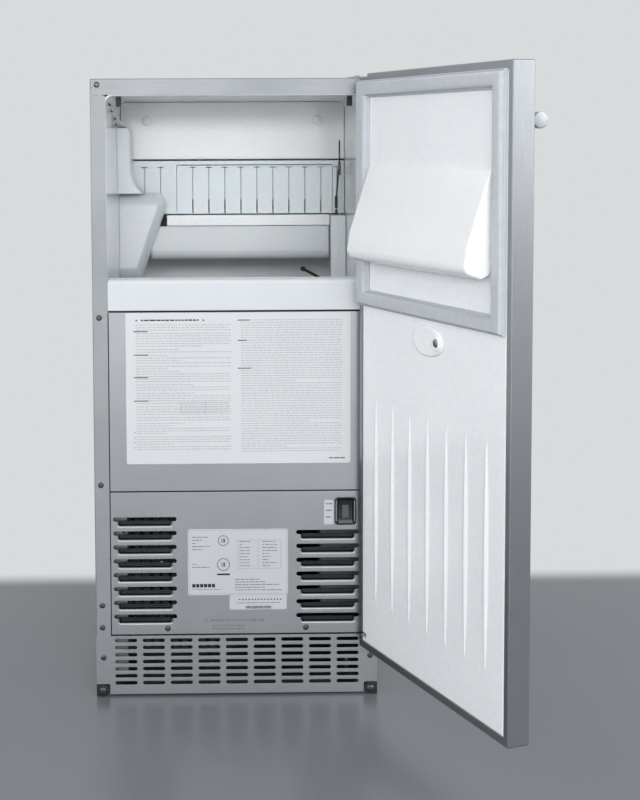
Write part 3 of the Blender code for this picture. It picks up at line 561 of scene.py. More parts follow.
@dataclass
class Home:
    """Where a group of pieces is built, and the body that they ride on."""

    matrix: Matrix
    body: str

    def add(
        self, name: str, bm: BMesh, finish: Finish, slot: str,
        replaces: Sequence[str] = (), smooth: float = 32.0, move: Matrix | None = None,
    ) -> bpy.types.Object:
        """Make a mesh an object of this group.

        Args:
            name: The piece's name.
            bm: Its mesh, which is freed.
            finish: Its finish.
            slot: The record's material slot; passed on to place, which does not use it.
            replaces: The solids that it stands for.
            smooth: Angle in degrees over which an edge stays sharp.
            move: A further placing inside the group.

        Returns:
            The piece.
        """
        mesh = bpy.data.meshes.new(name)
        bm.to_mesh(mesh)
        bm.free()
        mesh.shade_smooth()
        mesh.set_sharp_from_angle(angle=math.radians(smooth))
        return self.place(name, mesh, finish, slot, replaces, move)

    def place(
        self, name: str, mesh: bpy.types.Mesh, finish: Finish, slot: str,
        replaces: Sequence[str] = (), move: Matrix | None = None,
    ) -> bpy.types.Object:
        """Link a finished mesh into this group.

        Args:
            name: The piece's name.
            mesh: Its mesh, which other pieces may share.
            finish: Its finish.
            slot: The record's material slot; not used.
            replaces: The solids that it stands for.
            move: A further placing inside the group.

        Returns:
            The piece.
        """
        if not mesh.materials:
            mesh.materials.append(finish.material())
        made = bpy.data.objects.new(name, mesh)
        bpy.context.scene.collection.objects.link(made)
        made.matrix_world = self.matrix @ move if move else self.matrix
        # flat faces keep their own normal where a rounded edge meets them
        weighed = made.modifiers.new("weighted_normals", "WEIGHTED_NORMAL")
        weighed.keep_sharp, weighed.weight = True, 100
        bpy.context.view_layer.update()
        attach(made, self.body)
        if replaces:
            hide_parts(*replaces)
        LOG.info("%s on %s, %d faces", name, self.body, len(mesh.polygons))
        return made


@dataclass(frozen=True)
class Layout:
    """The cabinet's place, read from the fixed solids."""

    centre_x: float
    front_y: float
    pivot: Vector
    opening: float

    @classmethod
    def read(cls, frame: dict) -> Layout:
        """Read the cabinet's place and the door's joint.

        Args:
            frame: The fixed frame.

        Returns:
            The layout.
        """
        left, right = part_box("left_side_panel"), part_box("right_side_panel")
        joints = frame["record"]["behaviour"]["joints"]
        hinge = next(joint for joint in joints if joint["name"] == "door_hinge")
        return cls(
            (left[0][0] + right[1][0]) / 2, left[0][1],
            Vector(hinge["pos_m"]), math.radians(-hinge["range_deg"][0]),
        )

    def cabinet(self) -> Matrix:
        """Give the matrix from cabinet axes to the world."""
        return Matrix.Translation((self.centre_x, self.front_y, 0.0))

    def door(self) -> Matrix:
        """Give the matrix from the shut door's cabinet axes to the open door."""
        pivot = Vector((self.pivot.x, self.pivot.y, 0.0))
        shut = self.cabinet().translation - pivot
        return Matrix.Translation(pivot) @ Matrix.Rotation(self.opening, 4, "Z") @ Matrix.Translation(shut)


# ---------------------------------------------------------------- the finishes used

# 304 stainless, belt-brushed across its width: a satin grey with fine level streaks, a little lighter than
# the case's sheet as a painted highlight on the front sheets. The scratches are about 0.05 mm wide, drawn at
# 0.5 mm so that they show.
STEEL = Finish(
    "brushed_stainless", "#b4b7ba", "#a4a8ac", (0.27, 0.36), Pattern.GRAIN, 0.55, (90.0, 90.0, 1.0),
    relief=0.004, metallic=1.0, smudge=0.45, anisotropy=0.55,
)
# the case's own sheet, brushed more coarsely, so it is duller and more even; its grey is a little darker than
# the front sheets', which carry a painted highlight
CASE_STEEL = Finish(
    "satin_stainless", "#b0b3b6", "#a1a5a9", (0.40, 0.50), Pattern.GRAIN, 0.7, (90.0, 90.0, 1.0),
    relief=0.004, metallic=1.0, smudge=0.45, anisotropy=0.55,
)
# the same sheet on the door, whose grain runs up the door
DOOR_STEEL = Finish(
    "brushed_stainless_door", "#aaadb1", "#9a9ea3", (0.30, 0.40), Pattern.GRAIN, 0.5, (1.0, 1.0, 70.0),
    relief=0.005, metallic=1.0, smudge=0.3, anisotropy=0.25, spread=(1.0, 0.4, 0.02),
)
# steel of the louvres' throats, matt from the press and never brushed; its near-black base is painted shade
# for the recess behind each slit
THROAT_SHADE_STEEL = Finish(
    "painted_shade_throat_steel", "#4c5054", "#33373b", (0.45, 0.60), Pattern.PEEL, 1.2, relief=0.006, metallic=1.0,
)
# hot-dip zinc on the inner steel: grey crystals 6 to 10 mm across
GALVANISED = Finish(
    "galvanised_steel", "#a2a7aa", "#969b9f", (0.42, 0.52), Pattern.SPANGLE, 8.0, relief=0.004,
    metallic=1.0, smudge=0.2,
)
# bright zinc plate on screws and hinges: even, slightly blue, with a light haze
ZINC = Finish(
    "bright_zinc", "#a3a8ad", "#84898e", (0.24, 0.38), Pattern.PEEL, 0.8, relief=0.004, metallic=1.0,
)
# black zinc on the screws of the case: nearly black in the recess, bright on the worn rims
BLACK_ZINC = Finish(
    "black_zinc", "#75797d", "#4c5054", (0.22, 0.34), Pattern.PEEL, 0.5, relief=0.006, metallic=1.0,
)
# injection-moulded white ABS of the bin, glossy from a polished mould, with faint orange peel
WHITE_ABS = Finish(
    "moulded_white_abs", "#f0f2f3", "#e9ebed", (0.10, 0.17), Pattern.PEEL, 2.2, relief=0.003, scatter=0.1,
)
# injection-moulded ABS of the front lip and the trough, from a spark-eroded mould: duller, and greyer than
# the bin's white as painted shade
SHADED_WHITE_ABS = Finish(
    "shaded_white_abs", "#d3d7da", "#cacfd3", (0.24, 0.34), Pattern.PEEL, 1.6, relief=0.006, scatter=0.1,
)
# vacuum-formed white liner of the door: glossier, and wavy from the forming
FORMED_ABS = Finish(
    "vacuum_formed_abs", "#f0f2f4", "#eaecef", (0.12, 0.20), Pattern.PEEL, 6.0, relief=0.010, scatter=0.1,
)
# polypropylene of the wet parts, milky and slightly blue, with a matt mould grain
MILKY = Finish(
    "milky_polypropylene", "#e6eaed", "#dce1e5", (0.26, 0.40), Pattern.PEEL, 1.4, relief=0.010, scatter=0.25,
)
# extruded soft PVC of the door's seal: matt blue-grey
SEAL = Finish(
    "soft_pvc_seal", "#bfc3c8", "#b5bac0", (0.42, 0.55), Pattern.GRAIN, 0.8, (12.0, 12.0, 12.0), relief=0.010,
)
# moulded black nylon, grained by a spark-eroded mould
BLACK_NYLON = Finish(
    "grained_black_nylon", "#26282b", "#17191b", (0.38, 0.55), Pattern.PEEL, 0.6, relief=0.012,
)
# polished black polycarbonate of the switch
GLOSS_BLACK = Finish(
    "polished_black_polycarbonate", "#141517", "#0b0c0d", (0.10, 0.18), Pattern.PEEL, 3.0, relief=0.002,
    coat=0.4,
)
# grey nylon of small plugs and pins, grained like the black one
GREY_NYLON = Finish(
    "grained_grey_nylon", "#5b5f63", "#494d51", (0.40, 0.55), Pattern.PEEL, 0.6, relief=0.010,
)
# silk-screened polyester film of the labels
FILM = Finish(
    "polyester_label_film", "#c3c6c9", "#b9bcc0", (0.38, 0.50), Pattern.PEEL, 0.8, relief=0.004,
)
# the same film, whiter, for the large sheet of instructions
BRIGHT_FILM = Finish(
    "white_label_film", "#d3d5d7", "#cacccf", (0.38, 0.50), Pattern.PEEL, 0.8, relief=0.004,
)
# dried printing ink, slightly uneven where it is thin
INK = Finish("printed_ink", "#b9bcbf", "#a3a6aa", (0.50, 0.65), Pattern.PEEL, 0.5, relief=0.002)
LABEL_INK = Finish("label_printed_ink", "#74787c", "#5f6367", (0.50, 0.65), Pattern.PEEL, 0.5, relief=0.002)
DARK_INK = Finish("dark_printed_ink", "#303336", "#1d1f21", (0.45, 0.60), Pattern.PEEL, 0.5, relief=0.002)
FAINT_INK = Finish("faint_printed_ink", "#7b8085", "#6c7176", (0.45, 0.60), Pattern.PEEL, 0.5, relief=0.002)
# sprayed polyurethane foam between the sheets
FOAM = Finish(
    "polyurethane_foam", "#ddd3ab", "#bfb283", (0.80, 0.95), Pattern.CELLS, 1.5, relief=0.25, smudge=0.3,
)
# stove enamel on the compressor and the motor
BLACK_ENAMEL = Finish(
    "black_stove_enamel", "#222426", "#141517", (0.22, 0.36), Pattern.PEEL, 2.0, relief=0.02, coat=0.2,
)
# drawn copper tube and drier shell, browned by handling
COPPER = Finish(
    "drawn_copper", "#c07c58", "#8a523a", (0.22, 0.42), Pattern.PEEL, 3.0, relief=0.004, metallic=1.0,
)
# copper freezing plate under a thin coat of tin: paler, with a soft shine
TINNED = Finish(
    "tinned_copper", "#cfc8bd", "#b5ada1", (0.28, 0.42), Pattern.PEEL, 2.0, relief=0.006, metallic=1.0,
)
# turned brass of the water inlet: yellow, with fine tool marks
BRASS = Finish(
    "machined_brass", "#c3a662", "#9a7f43", (0.20, 0.36), Pattern.PEEL, 1.0, relief=0.004, metallic=1.0,
)
# near-black strips in the seams between the front's sheets: painted shade for the dark gaps
SEAM_SHADE = Finish("painted_shade_seam_strip", "#1d1f21", "#101112", (0.70, 0.85), Pattern.PEEL, 0.6, relief=0.02)


# ---------------------------------------------------------------- fasteners


@dataclass
class Screws:
    """Cross-recessed pan-head screws that share one mesh.

    Attributes:
        home: The group that carries them.
        prefix: First part of the pieces' names.
        radius: Radius of the heads.
        proud: Height of the heads.
        finish: The heads' finish.
    """

    home: Home
    prefix: str
    radius: float = 0.0034
    proud: float = 0.0016
    finish: Finish = ZINC
    count: int = 0
    mesh: bpy.types.Mesh | None = None

    def head(self) -> bpy.types.Mesh:
        """Make the head, once, with its axis along Z and its seat at Z = 0.

        Returns:
            The head's mesh.
        """
        if self.mesh:
            return self.mesh
        crown = [(self.proud * (1 - s * s), self.radius * (0.55 + 0.45 * s)) for s in (1.0, 0.8, 0.5, 0.0)]
        profile = [(0.0, 0.0), (0.0, self.radius)] + [(h * 0.9 + 0.1 * self.proud, r) for h, r in crown]
        profile += [(self.proud, 0.0)]
        body = turned(profile, (0, 0, 0), (0, 0, 1), 28)
        long, thin = self.radius * 0.66, self.radius * 0.17
        cross = []
        for wide, high in ((long, thin), (thin, long)):
            cross.append(plate(
                [(-wide, -high), (wide, -high), (wide, high), (-wide, high)],
                self.proud * 0.35, self.proud * 2, Plane.XY, edge=0.0,
            ))
        bm = carved(body, cross)
        self.mesh = bpy.data.meshes.new(self.prefix)
        bm.to_mesh(self.mesh)
        bm.free()
        self.mesh.shade_smooth()
        self.mesh.set_sharp_from_angle(angle=math.radians(30))
        return self.mesh

    def drive(self, place: Sequence[float], facing: Sequence[float], turn: float = 20.0) -> None:
        """Put one screw in.

        Args:
            place: The middle of its seat, in the group's axes.
            facing: Which way its head points.
            turn: How far its cross is turned, in degrees.
        """
        self.count += 1
        aim = Vector((0, 0, 1)).rotation_difference(Vector(facing)).to_matrix().to_4x4()
        move = Matrix.Translation(place) @ aim @ Matrix.Rotation(math.radians(turn), 4, "Z")
        self.home.place(f"{self.prefix}_{self.count:02d}", self.head(), self.finish, "zinc", move=move)


# ---------------------------------------------------------------- cabinet


@dataclass
class Case:
    """Folded side panels, top cover, back sheet and slotted plate, with screws and seams."""

    home: Home
    half: float = 0.1875
    depth: float = 0.570
    top: float = 0.8196
    lip: float = 0.7986
    underside: float = 0.0200
    flange: float = 0.1677
    bend: float = 0.0016

    def build(self) -> None:
        """Build every sheet of the case."""
        for name, side in (("left", -1), ("right", 1)):
            self.side_panel(name, side)
        self.top_cover()
        self.back_panel()
        self.kick_plate()
        self.caps()
        self.screws()
        self.seams()

    def side_panel(self, name: str, side: int) -> None:
        """Fold one side panel with its front flange.

        Args:
            name: Left or right.
            side: -1 for left and 1 for right.
        """
        half, bend = self.half, self.bend
        outer = arc((half - bend, bend), bend, -90, 0)
        inner = arc((half - bend, bend), bend - SHEET, 0, -90)
        plan = [(self.flange, 0.0), *outer, (half, self.depth), (half - SHEET, self.depth), *inner]
        plan.append((self.flange, SHEET))
        bm = plate([(side * x, y) for x, y in plan], self.underside, self.lip - 0.0010, Plane.XY)
        self.home.add(f"side_sheet_{name}", bm, CASE_STEEL, "stainless", [f"{name}_side_panel"])

    def top_cover(self) -> None:
        """Fold the top cover with lips on its four sides."""
        half, bend, corner = self.half, 0.0014, 0.0020

        def level(inset: float, z: float) -> list[Vector]:
            low, high = (inset - half, inset), (half - inset, self.depth - inset)
            outline = rounded(low, high, max(corner - inset, 0.0004), 3)
            return [Vector((x, y, z)) for x, y in outline]

        loops = [level(SHEET, self.top - SHEET), level(SHEET, self.lip), level(0.0, self.lip)]
        for i in range(5):
            angle = math.radians(90 * i / 4)
            loops.append(level(bend - bend * math.cos(angle), self.top - bend + bend * math.sin(angle)))
        seat = block((0.1490, -0.0100, self.top - 0.0005), (0.2000, 0.0460, self.top + 0.0100), 0.0001)
        bm = carved(lofted(loops), [seat])
        self.home.add("top_cover_sheet", bm, CASE_STEEL, "stainless", ["top_cover"])

    def back_panel(self) -> None:
        """Cut the back sheet with its vents and ports, and stick its label on."""
        half = self.half - SHEET - GAP
        vents = [
            rounded((x, z), (x + 0.050, z + 0.006), 0.003)
            for x in (-0.140, -0.080, -0.020, 0.040) for z in (0.180, 0.196, 0.212)
        ]
        ports = [circle((-0.120, 0.100), 0.0115), circle((0.120, 0.045), 0.0125)]
        outline = rounded((-half, self.underside + 0.0023), (half, self.lip - 0.0006), 0.0005, 1)
        bm = plate(outline, self.depth - SHEET, self.depth - GAP, Plane.XZ, vents + ports)
        self.home.add("back_sheet", bm, GALVANISED, "galvanised", ["back_panel"])
        label = plate(rounded((-0.050, 0.560), (0.050, 0.620), 0.003), self.depth - GAP, self.depth - 0.0001)
        self.home.add("back_label", label, FILM, "label_film")
        rows = [(-0.044, 0.612 - 0.006 * i, 0.040 - 0.009 * (i % 3), 0.6138 - 0.006 * i) for i in range(8)]
        self.home.add("back_label_print", bars(rows, self.depth - 0.0001, self.depth), INK, "label_film")

    def kick_plate(self) -> None:
        """Cut the slotted plate at the foot, notched for the corner caps."""
        notch_x, notch_z, low, high = 0.1695, 0.0165, 0.0026, 0.0818
        outline = [
            (-notch_x, low), (notch_x, low), (notch_x, notch_z), (self.half, notch_z),
            (self.half, high), (-self.half, high), (-self.half, notch_z), (-notch_x, notch_z),
        ]
        slots = []
        for column in range(9):
            for row in range(7):
                x, z = -0.1623 + 0.0369 * column, 0.0755 - 0.0096 * row
                slots.append(rounded((x, z - 0.0024), (x + 0.0294, z + 0.0024), 0.0023, 4))
        bm = plate(outline, -GAP - SHEET, -GAP, Plane.XZ, slots)
        self.home.add("kick_sheet", bm, STEEL, "stainless", ["kick_plate"])

    def caps(self) -> None:
        """Mould the two corner caps and put a screw in each."""
        radius, middle = 0.0075, 0.0084
        screws = Screws(self.home, "cap_screw", 0.0048, 0.0018, BLACK_ZINC)
        for name, side in (("left", -1), ("right", 1)):
            edge = self.half - GAP
            outline = [(edge, middle - radius), (edge, middle + radius)]
            outline += arc((0.1774, middle), radius, 90, 270, 12)
            plan = [(side * x, z) for x, z in outline]
            bm = plate(plan, -0.0035, 0.0060, Plane.XZ, edge=0.0009)
            self.home.add(f"corner_cap_{name}", bm, BLACK_NYLON, "black_plastic", [f"kick_cap_{name}"])
            screws.drive((side * 0.1784, -0.0034, 0.0079), (0, -1, 0), 35)

    def screws(self) -> None:
        """Put in the screws of the front, the back and the upper hinge."""
        front = Screws(self.home, "case_screw", 0.0039, 0.0014, BLACK_ZINC)
        for side in (-1, 1):
            front.drive((side * 0.1785, 0.0, 0.8118), (0, -1, 0), 15)
            for z, turn in ((0.5078, 40), (0.2854, 10), (0.1231, 25), (0.0931, 60)):
                if side < 0 or z > 0.13:
                    front.drive((side * 0.1788, 0.0, z), (0, -1, 0), turn)
            front.drive((side * 0.1777, -GAP - SHEET, 0.0525), (0, -1, 0), 50)
            front.drive((side * 0.0920, 0.0, 0.0911), (0, -1, 0), 30)
        back = Screws(self.home, "back_screw", 0.0036, 0.0004)
        for side in (-1, 1):
            for z in (0.040, 0.300, 0.540, 0.780):
                back.drive((side * 0.1780, self.depth - GAP, z), (0, 1, 0), 20 + 90 * z)
        for x in (-0.090, 0.090):
            back.drive((x, self.depth - GAP, 0.040), (0, 1, 0), 15)
        hinge = Screws(self.home, "hinge_screw", 0.0040, 0.0016)
        for y in (0.0140, 0.0340):
            hinge.drive((0.1610, y, 0.8214), (0, 0, 1), 1000 * y)

    def seams(self) -> None:
        """Fill the seams between the front's sheets with near-black strips, painted shade for the gaps."""
        deep, face = 0.0011, 0.0006
        strips = {
            "left": (-self.flange + 0.0001, 0.0832, -0.1667, 0.5147),
            "right": (0.1667, 0.0832, self.flange - 0.0001, 0.5147),
            "middle": (-0.1665, 0.2753, 0.1665, 0.2768),
            "upper": (-0.1665, 0.5146, 0.1665, 0.5167),
            "foot": (-0.1665, 0.0819, 0.1665, 0.0834),
        }
        for name, (x0, z0, x1, z1) in strips.items():
            bm = plate([(x0, z0), (x1, z0), (x1, z1), (x0, z1)], face, deep, edge=0.0)
            # near-black strips: painted shade in the gaps between the sheets
            self.home.add(f"seam_{name}", bm, SEAM_SHADE, "black_plastic")


@dataclass
class Front:
    """White lip, instruction sheet and louvred service sheet, with the labels on them."""

    home: Home
    half: float = 0.1665
    louvre_top: float = 0.2388
    louvre_pitch: float = 0.01876
    slit: float = 0.00575
    near: float = 0.0794
    far: float = 0.1632
    inset: float = 0.0050
    scoop: float = 0.0076
    corner: float = 0.0040
    switch: Point = (0.1446, 0.2484)
    film: float = -0.0005

    def build(self) -> None:
        """Build the front's sheets and labels."""
        self.lip()
        outline = rounded((-self.half, 0.2769), (self.half, 0.5145), 0.0006, 2)
        bm = plate(outline, 0.0, SHEET, edge=0.0004)
        self.home.add("instruction_sheet", bm, STEEL, "stainless", ["instruction_panel"])
        self.service_sheet()
        self.instruction_print()
        self.rating_plate()

    def lip(self) -> None:
        """Extrude the white lip under the bin's mouth."""
        low, high, deep, radius = 0.5166, 0.5580, 0.0200, 0.0060
        section = arc((radius, high - radius), radius, 180, 90, 10)
        section += arc((deep - 0.002, high - 0.002), 0.002, 90, 0, 4)
        section += [(deep, low), *arc((0.0012, low + 0.0012), 0.0012, 270, 180, 3)]
        ends = ((-0.1674, 0.985), (-0.1671, 1.0), (0.1671, 1.0), (0.1674, 0.985))
        loops = [[Vector((x, y, z)) for y, z in shrunk(section, scale)] for x, scale in ends]
        # the lip's greyer white is painted shade
        self.home.add("bin_mouth_lip", lofted(loops), SHADED_WHITE_ABS, "white_abs", ["bin_lip"])

    def throat(self, low_x: float, high_x: float, top: float) -> Outline:
        """Give the opening's part below a slit, from its left end to its right end.

        Args:
            low_x: Left edge of the slit.
            high_x: Right edge of the slit.
            top: Height of the slit's lower edge.

        Returns:
            The points down the left side, along the foot and up the right side.
        """
        left, right, foot = low_x + self.inset, high_x - self.inset, top - self.scoop
        made = [(left, top)]
        made += arc((left + self.corner, foot + self.corner), self.corner, 180, 270, 5)
        made += arc((right - self.corner, foot + self.corner), self.corner, 270, 360, 5)
        made.append((right, top))
        return made

    def service_sheet(self) -> None:
        """Cut the service sheet for its louvres and switch, and press the louvres' scoops."""
        low_z, high_z = 0.0835, 0.2752
        holes = []
        scoops = []
        for side in (-1, 1):
            low_x, high_x = (-self.far, -self.near) if side < 0 else (self.near, self.far)
            for row in range(8):
                if side > 0 and row == 0:
                    continue
                middle = self.louvre_top - row * self.louvre_pitch
                radius = self.slit / 2
                bottom = middle - radius
                throat = self.throat(low_x, high_x, bottom)
                hole = [*throat, *arc((high_x - radius, middle), radius, -90, 90, 8)]
                hole += arc((low_x + radius, middle), radius, 90, 270, 8)
                holes.append(hole)
                scoops.append(self.scoop_sheet(throat, bottom))
        x, z = self.switch
        holes.append(rounded((x - 0.0123, z - 0.0165), (x + 0.0123, z + 0.0165), 0.002))
        outline = rounded((-self.half, low_z), (self.half, high_z), 0.0006, 2)
        bm = plate(outline, 0.0, SHEET, Plane.XZ, holes, 0.0003)
        self.home.add("service_sheet", bm, STEEL, "stainless", ["service_panel"])
        for number, (rim, floor) in enumerate(scoops, 1):
            self.home.add(f"louvre_rim_{number:02d}", rim, STEEL, "stainless", smooth=60)
            # the throats' dark steel is painted shade in the recesses behind the slits
            self.home.add(f"louvre_throat_{number:02d}", floor, THROAT_SHADE_STEEL, "stainless", smooth=60)

    def scoop_sheet(self, throat: Outline, top: float) -> tuple[BMesh, BMesh]:
        """Press one scoop: a rim that rolls inwards from the sheet and a floor behind it.

        Args:
            throat: The opening's edge, down one side, along the foot and up the other.
            top: Height of the slit's lower edge.

        Returns:
            The bright rim and the floor, whose dark steel is painted shade.
        """

        def stage(inward: float, depth: float) -> list[Vector]:
            """Move the edge towards the scoop's middle and into the depth."""
            made = []
            for number, (x, z) in enumerate(throat):
                ahead = throat[min(number + 1, len(throat) - 1)]
                behind = throat[max(number - 1, 0)]
                along = Vector((ahead[0] - behind[0], ahead[1] - behind[1])).normalized()
                x, z = x - along.y * inward, z + along.x * inward
                if number in (0, len(throat) - 1):
                    z = top
                made.append(Vector((x, depth, min(z, top))))
            return made

        profile = [(0.0, 0.0), (0.0006, 0.00015), (0.0013, 0.0005), (0.0018, 0.0010), (0.0021, 0.0018)]
        rim = self.ribbon([stage(inward, depth) for inward, depth in profile], 0.0008)
        deep = [(0.0021, 0.0018), (0.0024, 0.0028), (0.0029, 0.0044), (0.0035, 0.0054)]
        floor = self.ribbon([stage(inward, depth) for inward, depth in deep], 0.0008, True)
        return rim, floor

    @staticmethod
    def ribbon(rows: list[list[Vector]], thick: float, filled: bool = False) -> BMesh:
        """Give a band between open lines a thickness.

        Args:
            rows: The lines, each with the same number of points.
            thick: How far its back lies behind its face, along Y.
            filled: Close the room inside the last line with a flat face.

        Returns:
            One closed mesh.
        """
        bm = bmesh.new()
        sides = []
        for back in (0.0, thick):
            grid = [[bm.verts.new(point + Vector((0, back, 0))) for point in row] for row in rows]
            for row, nxt in zip(grid, grid[1:]):
                for i in range(len(row) - 1):
                    bm.faces.new((row[i], row[i + 1], nxt[i + 1], nxt[i]))
            if filled:
                bm.faces.new(grid[-1])
            sides.append(grid)
        for face, rear in ((sides[0][0], sides[1][0]), (sides[0][-1], sides[1][-1])):
            if filled and face is sides[0][-1]:
                bm.faces.new((face[0], face[-1], rear[-1], rear[0]))
                continue
            for i in range(len(face) - 1):
                bm.faces.new((face[i], face[i + 1], rear[i + 1], rear[i]))
        for end in (0, -1):
            for k in range(len(rows) - 1):
                a, b = sides[0][k][end], sides[0][k + 1][end]
                bm.faces.new((a, b, sides[1][k + 1][end], sides[1][k][end]))
        bmesh.ops.recalc_face_normals(bm, faces=bm.faces)
        return bm

    def label(
        self, name: str, low: Point, high: Point, finish: Finish, replaces: Sequence[str] = ()
    ) -> None:
        """Stick one label on the front.

        Args:
            name: The piece's name.
            low: Its lowest corner.
            high: Its highest corner.
            finish: Its film.
            replaces: The solids that it stands for.
        """
        bm = plate(rounded(low, high, 0.0025, 4), self.film, -GAP, edge=0.00005)
        self.home.add(name, bm, finish, "label_film", replaces)

    def ink(self, name: str, boxes: Iterable[Box], finish: Finish, raised: float = 0.06) -> None:
        """Print bars on the labels' faces.

        Args:
            name: The piece's name.
            boxes: Lowest X and Z and highest X and Z of each bar.
            finish: The ink.
            raised: The ink's thickness, in millimetres.
        """
        self.home.add(name, bars(boxes, self.film, self.film - raised * MM), finish, "label_film")

    def words(
        self, rng: random.Random, left: float, right: float, top: float, pitch: float, lines: int,
        high: float, full: float = 0.9,
    ) -> list[Box]:
        """Lay out lines of greeked words.

        Args:
            rng: Seeded random numbers.
            left: Where the lines start.
            right: Where they end at most.
            top: Top of the first line.
            pitch: Distance from line to line.
            lines: How many lines.
            high: Height of the bars.
            full: Share of the lines that reach the right.

        Returns:
            The bars' boxes.
        """
        made = []
        for row in range(lines):
            z, x = top - row * pitch, left
            end = right if rng.random() < full else left + (right - left) * rng.uniform(0.25, 0.8)
            while x < end - 0.002:
                wide = min(rng.uniform(0.0022, 0.0085), end - x)
                made.append((x, z - high, x + wide, z))
                x += wide + 0.0011
        return made

    def instruction_print(self) -> None:
        """Stick on the large label and print its two columns as bars."""
        low, high = (-0.1443, 0.3132), (0.1513, 0.5140)
        self.label("instruction_film", low, high, BRIGHT_FILM, ["instruction_label"])
        rng = random.Random(7)
        left, right, pitch, ink = (-0.1340, -0.0060), (0.0030, 0.1400), 0.00335, 0.00105
        found = []
        z = 0.4985
        for lines in (3, 6, 2, 4, 7, 3, 5, 4, 2, 5, 6):
            if z - lines * pitch < 0.3270:
                break
            found += self.words(rng, left[0] + 0.003, left[1], z, pitch, lines, ink, 0.8)
            z -= lines * pitch + 0.0011
        found += self.words(rng, right[0] + 0.004, right[1], 0.5045, pitch, 53, ink, 0.93)
        self.ink("instruction_lines", found, INK)
        heads = [(-0.1310, 0.5030, -0.1290, 0.5050), (-0.0430, 0.5030, -0.0410, 0.5050)]
        heads += self.words(rng, -0.1240, -0.0480, 0.5052, 0.01, 1, 0.0019, 1.0)
        heads += [(-0.1340, z - 0.0011, -0.1327, z) for z in [0.3560 - 0.0068 * i for i in range(4)]]
        heads += [(-0.1340, z - 0.0012, -0.1150, z) for z in (0.4900, 0.4590, 0.4290, 0.3980)]
        marks = ((0.5045, 0.016), (0.4777, 0.012), (0.4408, 0.017))
        heads += [(0.0030, z - 0.0012, 0.0030 + wide, z) for z, wide in marks]
        heads += self.words(rng, 0.1230, 0.1440, 0.3205, 0.01, 1, 0.0014, 1.0)
        self.ink("instruction_heads", heads, DARK_INK, 0.08)
        box = []
        for i in range(5):
            z = 0.3960 - i * 0.0034 - 0.0006
            box.append((-0.0730, z, -0.0100, z + 0.0003))
        for x in (-0.0730, -0.0400, -0.0103):
            box.append((x, 0.3818, x + 0.0003, 0.3957))
        self.ink("instruction_table", box, FAINT_INK, 0.04)

    def rating_plate(self) -> None:
        """Stick on the small labels and print generic bars, rings and a table on them."""
        self.label("rating_film", (-0.0647, 0.1359), (0.0683, 0.2253), FILM, ["rating_label"])
        self.label("serial_film", (-0.0097, 0.1160), (0.0664, 0.1356), FILM)
        self.label("switch_film", (0.1162, 0.2305), (0.1291, 0.2635), FILM)
        rng = random.Random(11)
        found = self.words(rng, -0.0590, -0.0360, 0.2150, 0.0042, 5, 0.0010, 0.5)
        found += self.words(rng, -0.0590, -0.0360, 0.1785, 0.0042, 2, 0.0010, 0.5)
        found += self.words(rng, -0.0020, 0.0600, 0.1575, 0.0036, 5, 0.0010, 0.6)
        found += self.words(rng, -0.0590, -0.0200, 0.1440, 0.0040, 1, 0.0007, 1.0)
        for row in range(9):
            found += self.words(rng, 0.0035, 0.0180, 0.2085 - 0.0041 * row, 0.01, 1, 0.0009, 0.4)
            found += self.words(rng, 0.0340, 0.0540, 0.2085 - 0.0041 * row, 0.01, 1, 0.0009, 0.5)
        found += self.words(rng, -0.0010, 0.0600, 0.1255, 0.01, 1, 0.0009, 1.0)
        for row in range(3):
            found += self.words(rng, 0.1185, 0.1270, 0.2590 - 0.0090 * row, 0.01, 1, 0.0016, 1.0)
        frame = [(0.0013, z, 0.0588, z + 0.0003) for z in (0.1715, 0.2098)]
        frame += [(x, 0.1715, x + 0.0003, 0.2101) for x in (0.0285, 0.0013, 0.0585)]
        frame += [(-0.0632, 0.1374, 0.0668, 0.1377), (-0.0632, 0.2235, 0.0668, 0.2238)]
        frame += [(-0.0632, 0.1374, -0.0629, 0.2238), (0.0665, 0.1374, 0.0668, 0.2238)]
        self.ink("rating_lines", found, LABEL_INK)
        self.ink("rating_frame", frame, FAINT_INK, 0.04)
        dark = [(-0.0590 + 0.0052 * i, 0.1465, -0.0548 + 0.0052 * i, 0.1512) for i in range(6)]
        dark += [(-0.0260, 0.1628, -0.0090, 0.1652)]
        x = 0.0120
        while x < 0.0450:
            wide = rng.choice((0.0004, 0.0007, 0.0011))
            dark.append((x, 0.1172, x + wide, 0.1210))
            x += wide + 0.0005
        dark += [(0.0030 + 0.0042 * i, 0.1288, 0.0048 + 0.0042 * i, 0.1306) for i in range(14)]
        self.ink("rating_marks", dark, DARK_INK, 0.07)
        for number, (z, radius) in enumerate(((0.2095, 0.0072), (0.1772, 0.0086)), 1):
            outer, inner = circle((-0.0175, z), radius, 40), circle((-0.0175, z), radius - 0.0011, 40)
            ring = plate(outer, self.film, self.film - 0.06 * MM, Plane.XZ, [inner], 0.0)
            self.home.add(f"ring_mark_{number}", ring, LABEL_INK, "label_film")
            low, high = z - 0.0028, z + 0.0028
            ticks = [(-0.0200, low, -0.0188, high), (-0.0178, low, -0.0150, high)]
            self.ink(f"ring_inner_{number}", ticks, LABEL_INK)
        faint = self.words(rng, -0.0350, 0.0370, 0.1030, 0.01, 1, 0.0028, 1.0)
        faint += self.words(rng, -0.0330, 0.0500, 0.0950, 0.0042, 2, 0.0017, 0.6)
        self.home.add("foot_print", bars(faint, 0.0, -0.00006), FAINT_INK, "label_film")
        corners = ((-0.0452, 0.0990), (-0.0372, 0.0990), (-0.0412, 0.1055))
        inner = [(x * 0.62 - 0.0412 * 0.38, z * 0.62 + 0.1010 * 0.38) for x, z in corners]
        bm = plate(list(corners), 0.0, -0.00006, Plane.XZ, [inner], 0.0)
        self.home.add("triangle_mark", bm, FAINT_INK, "label_film")


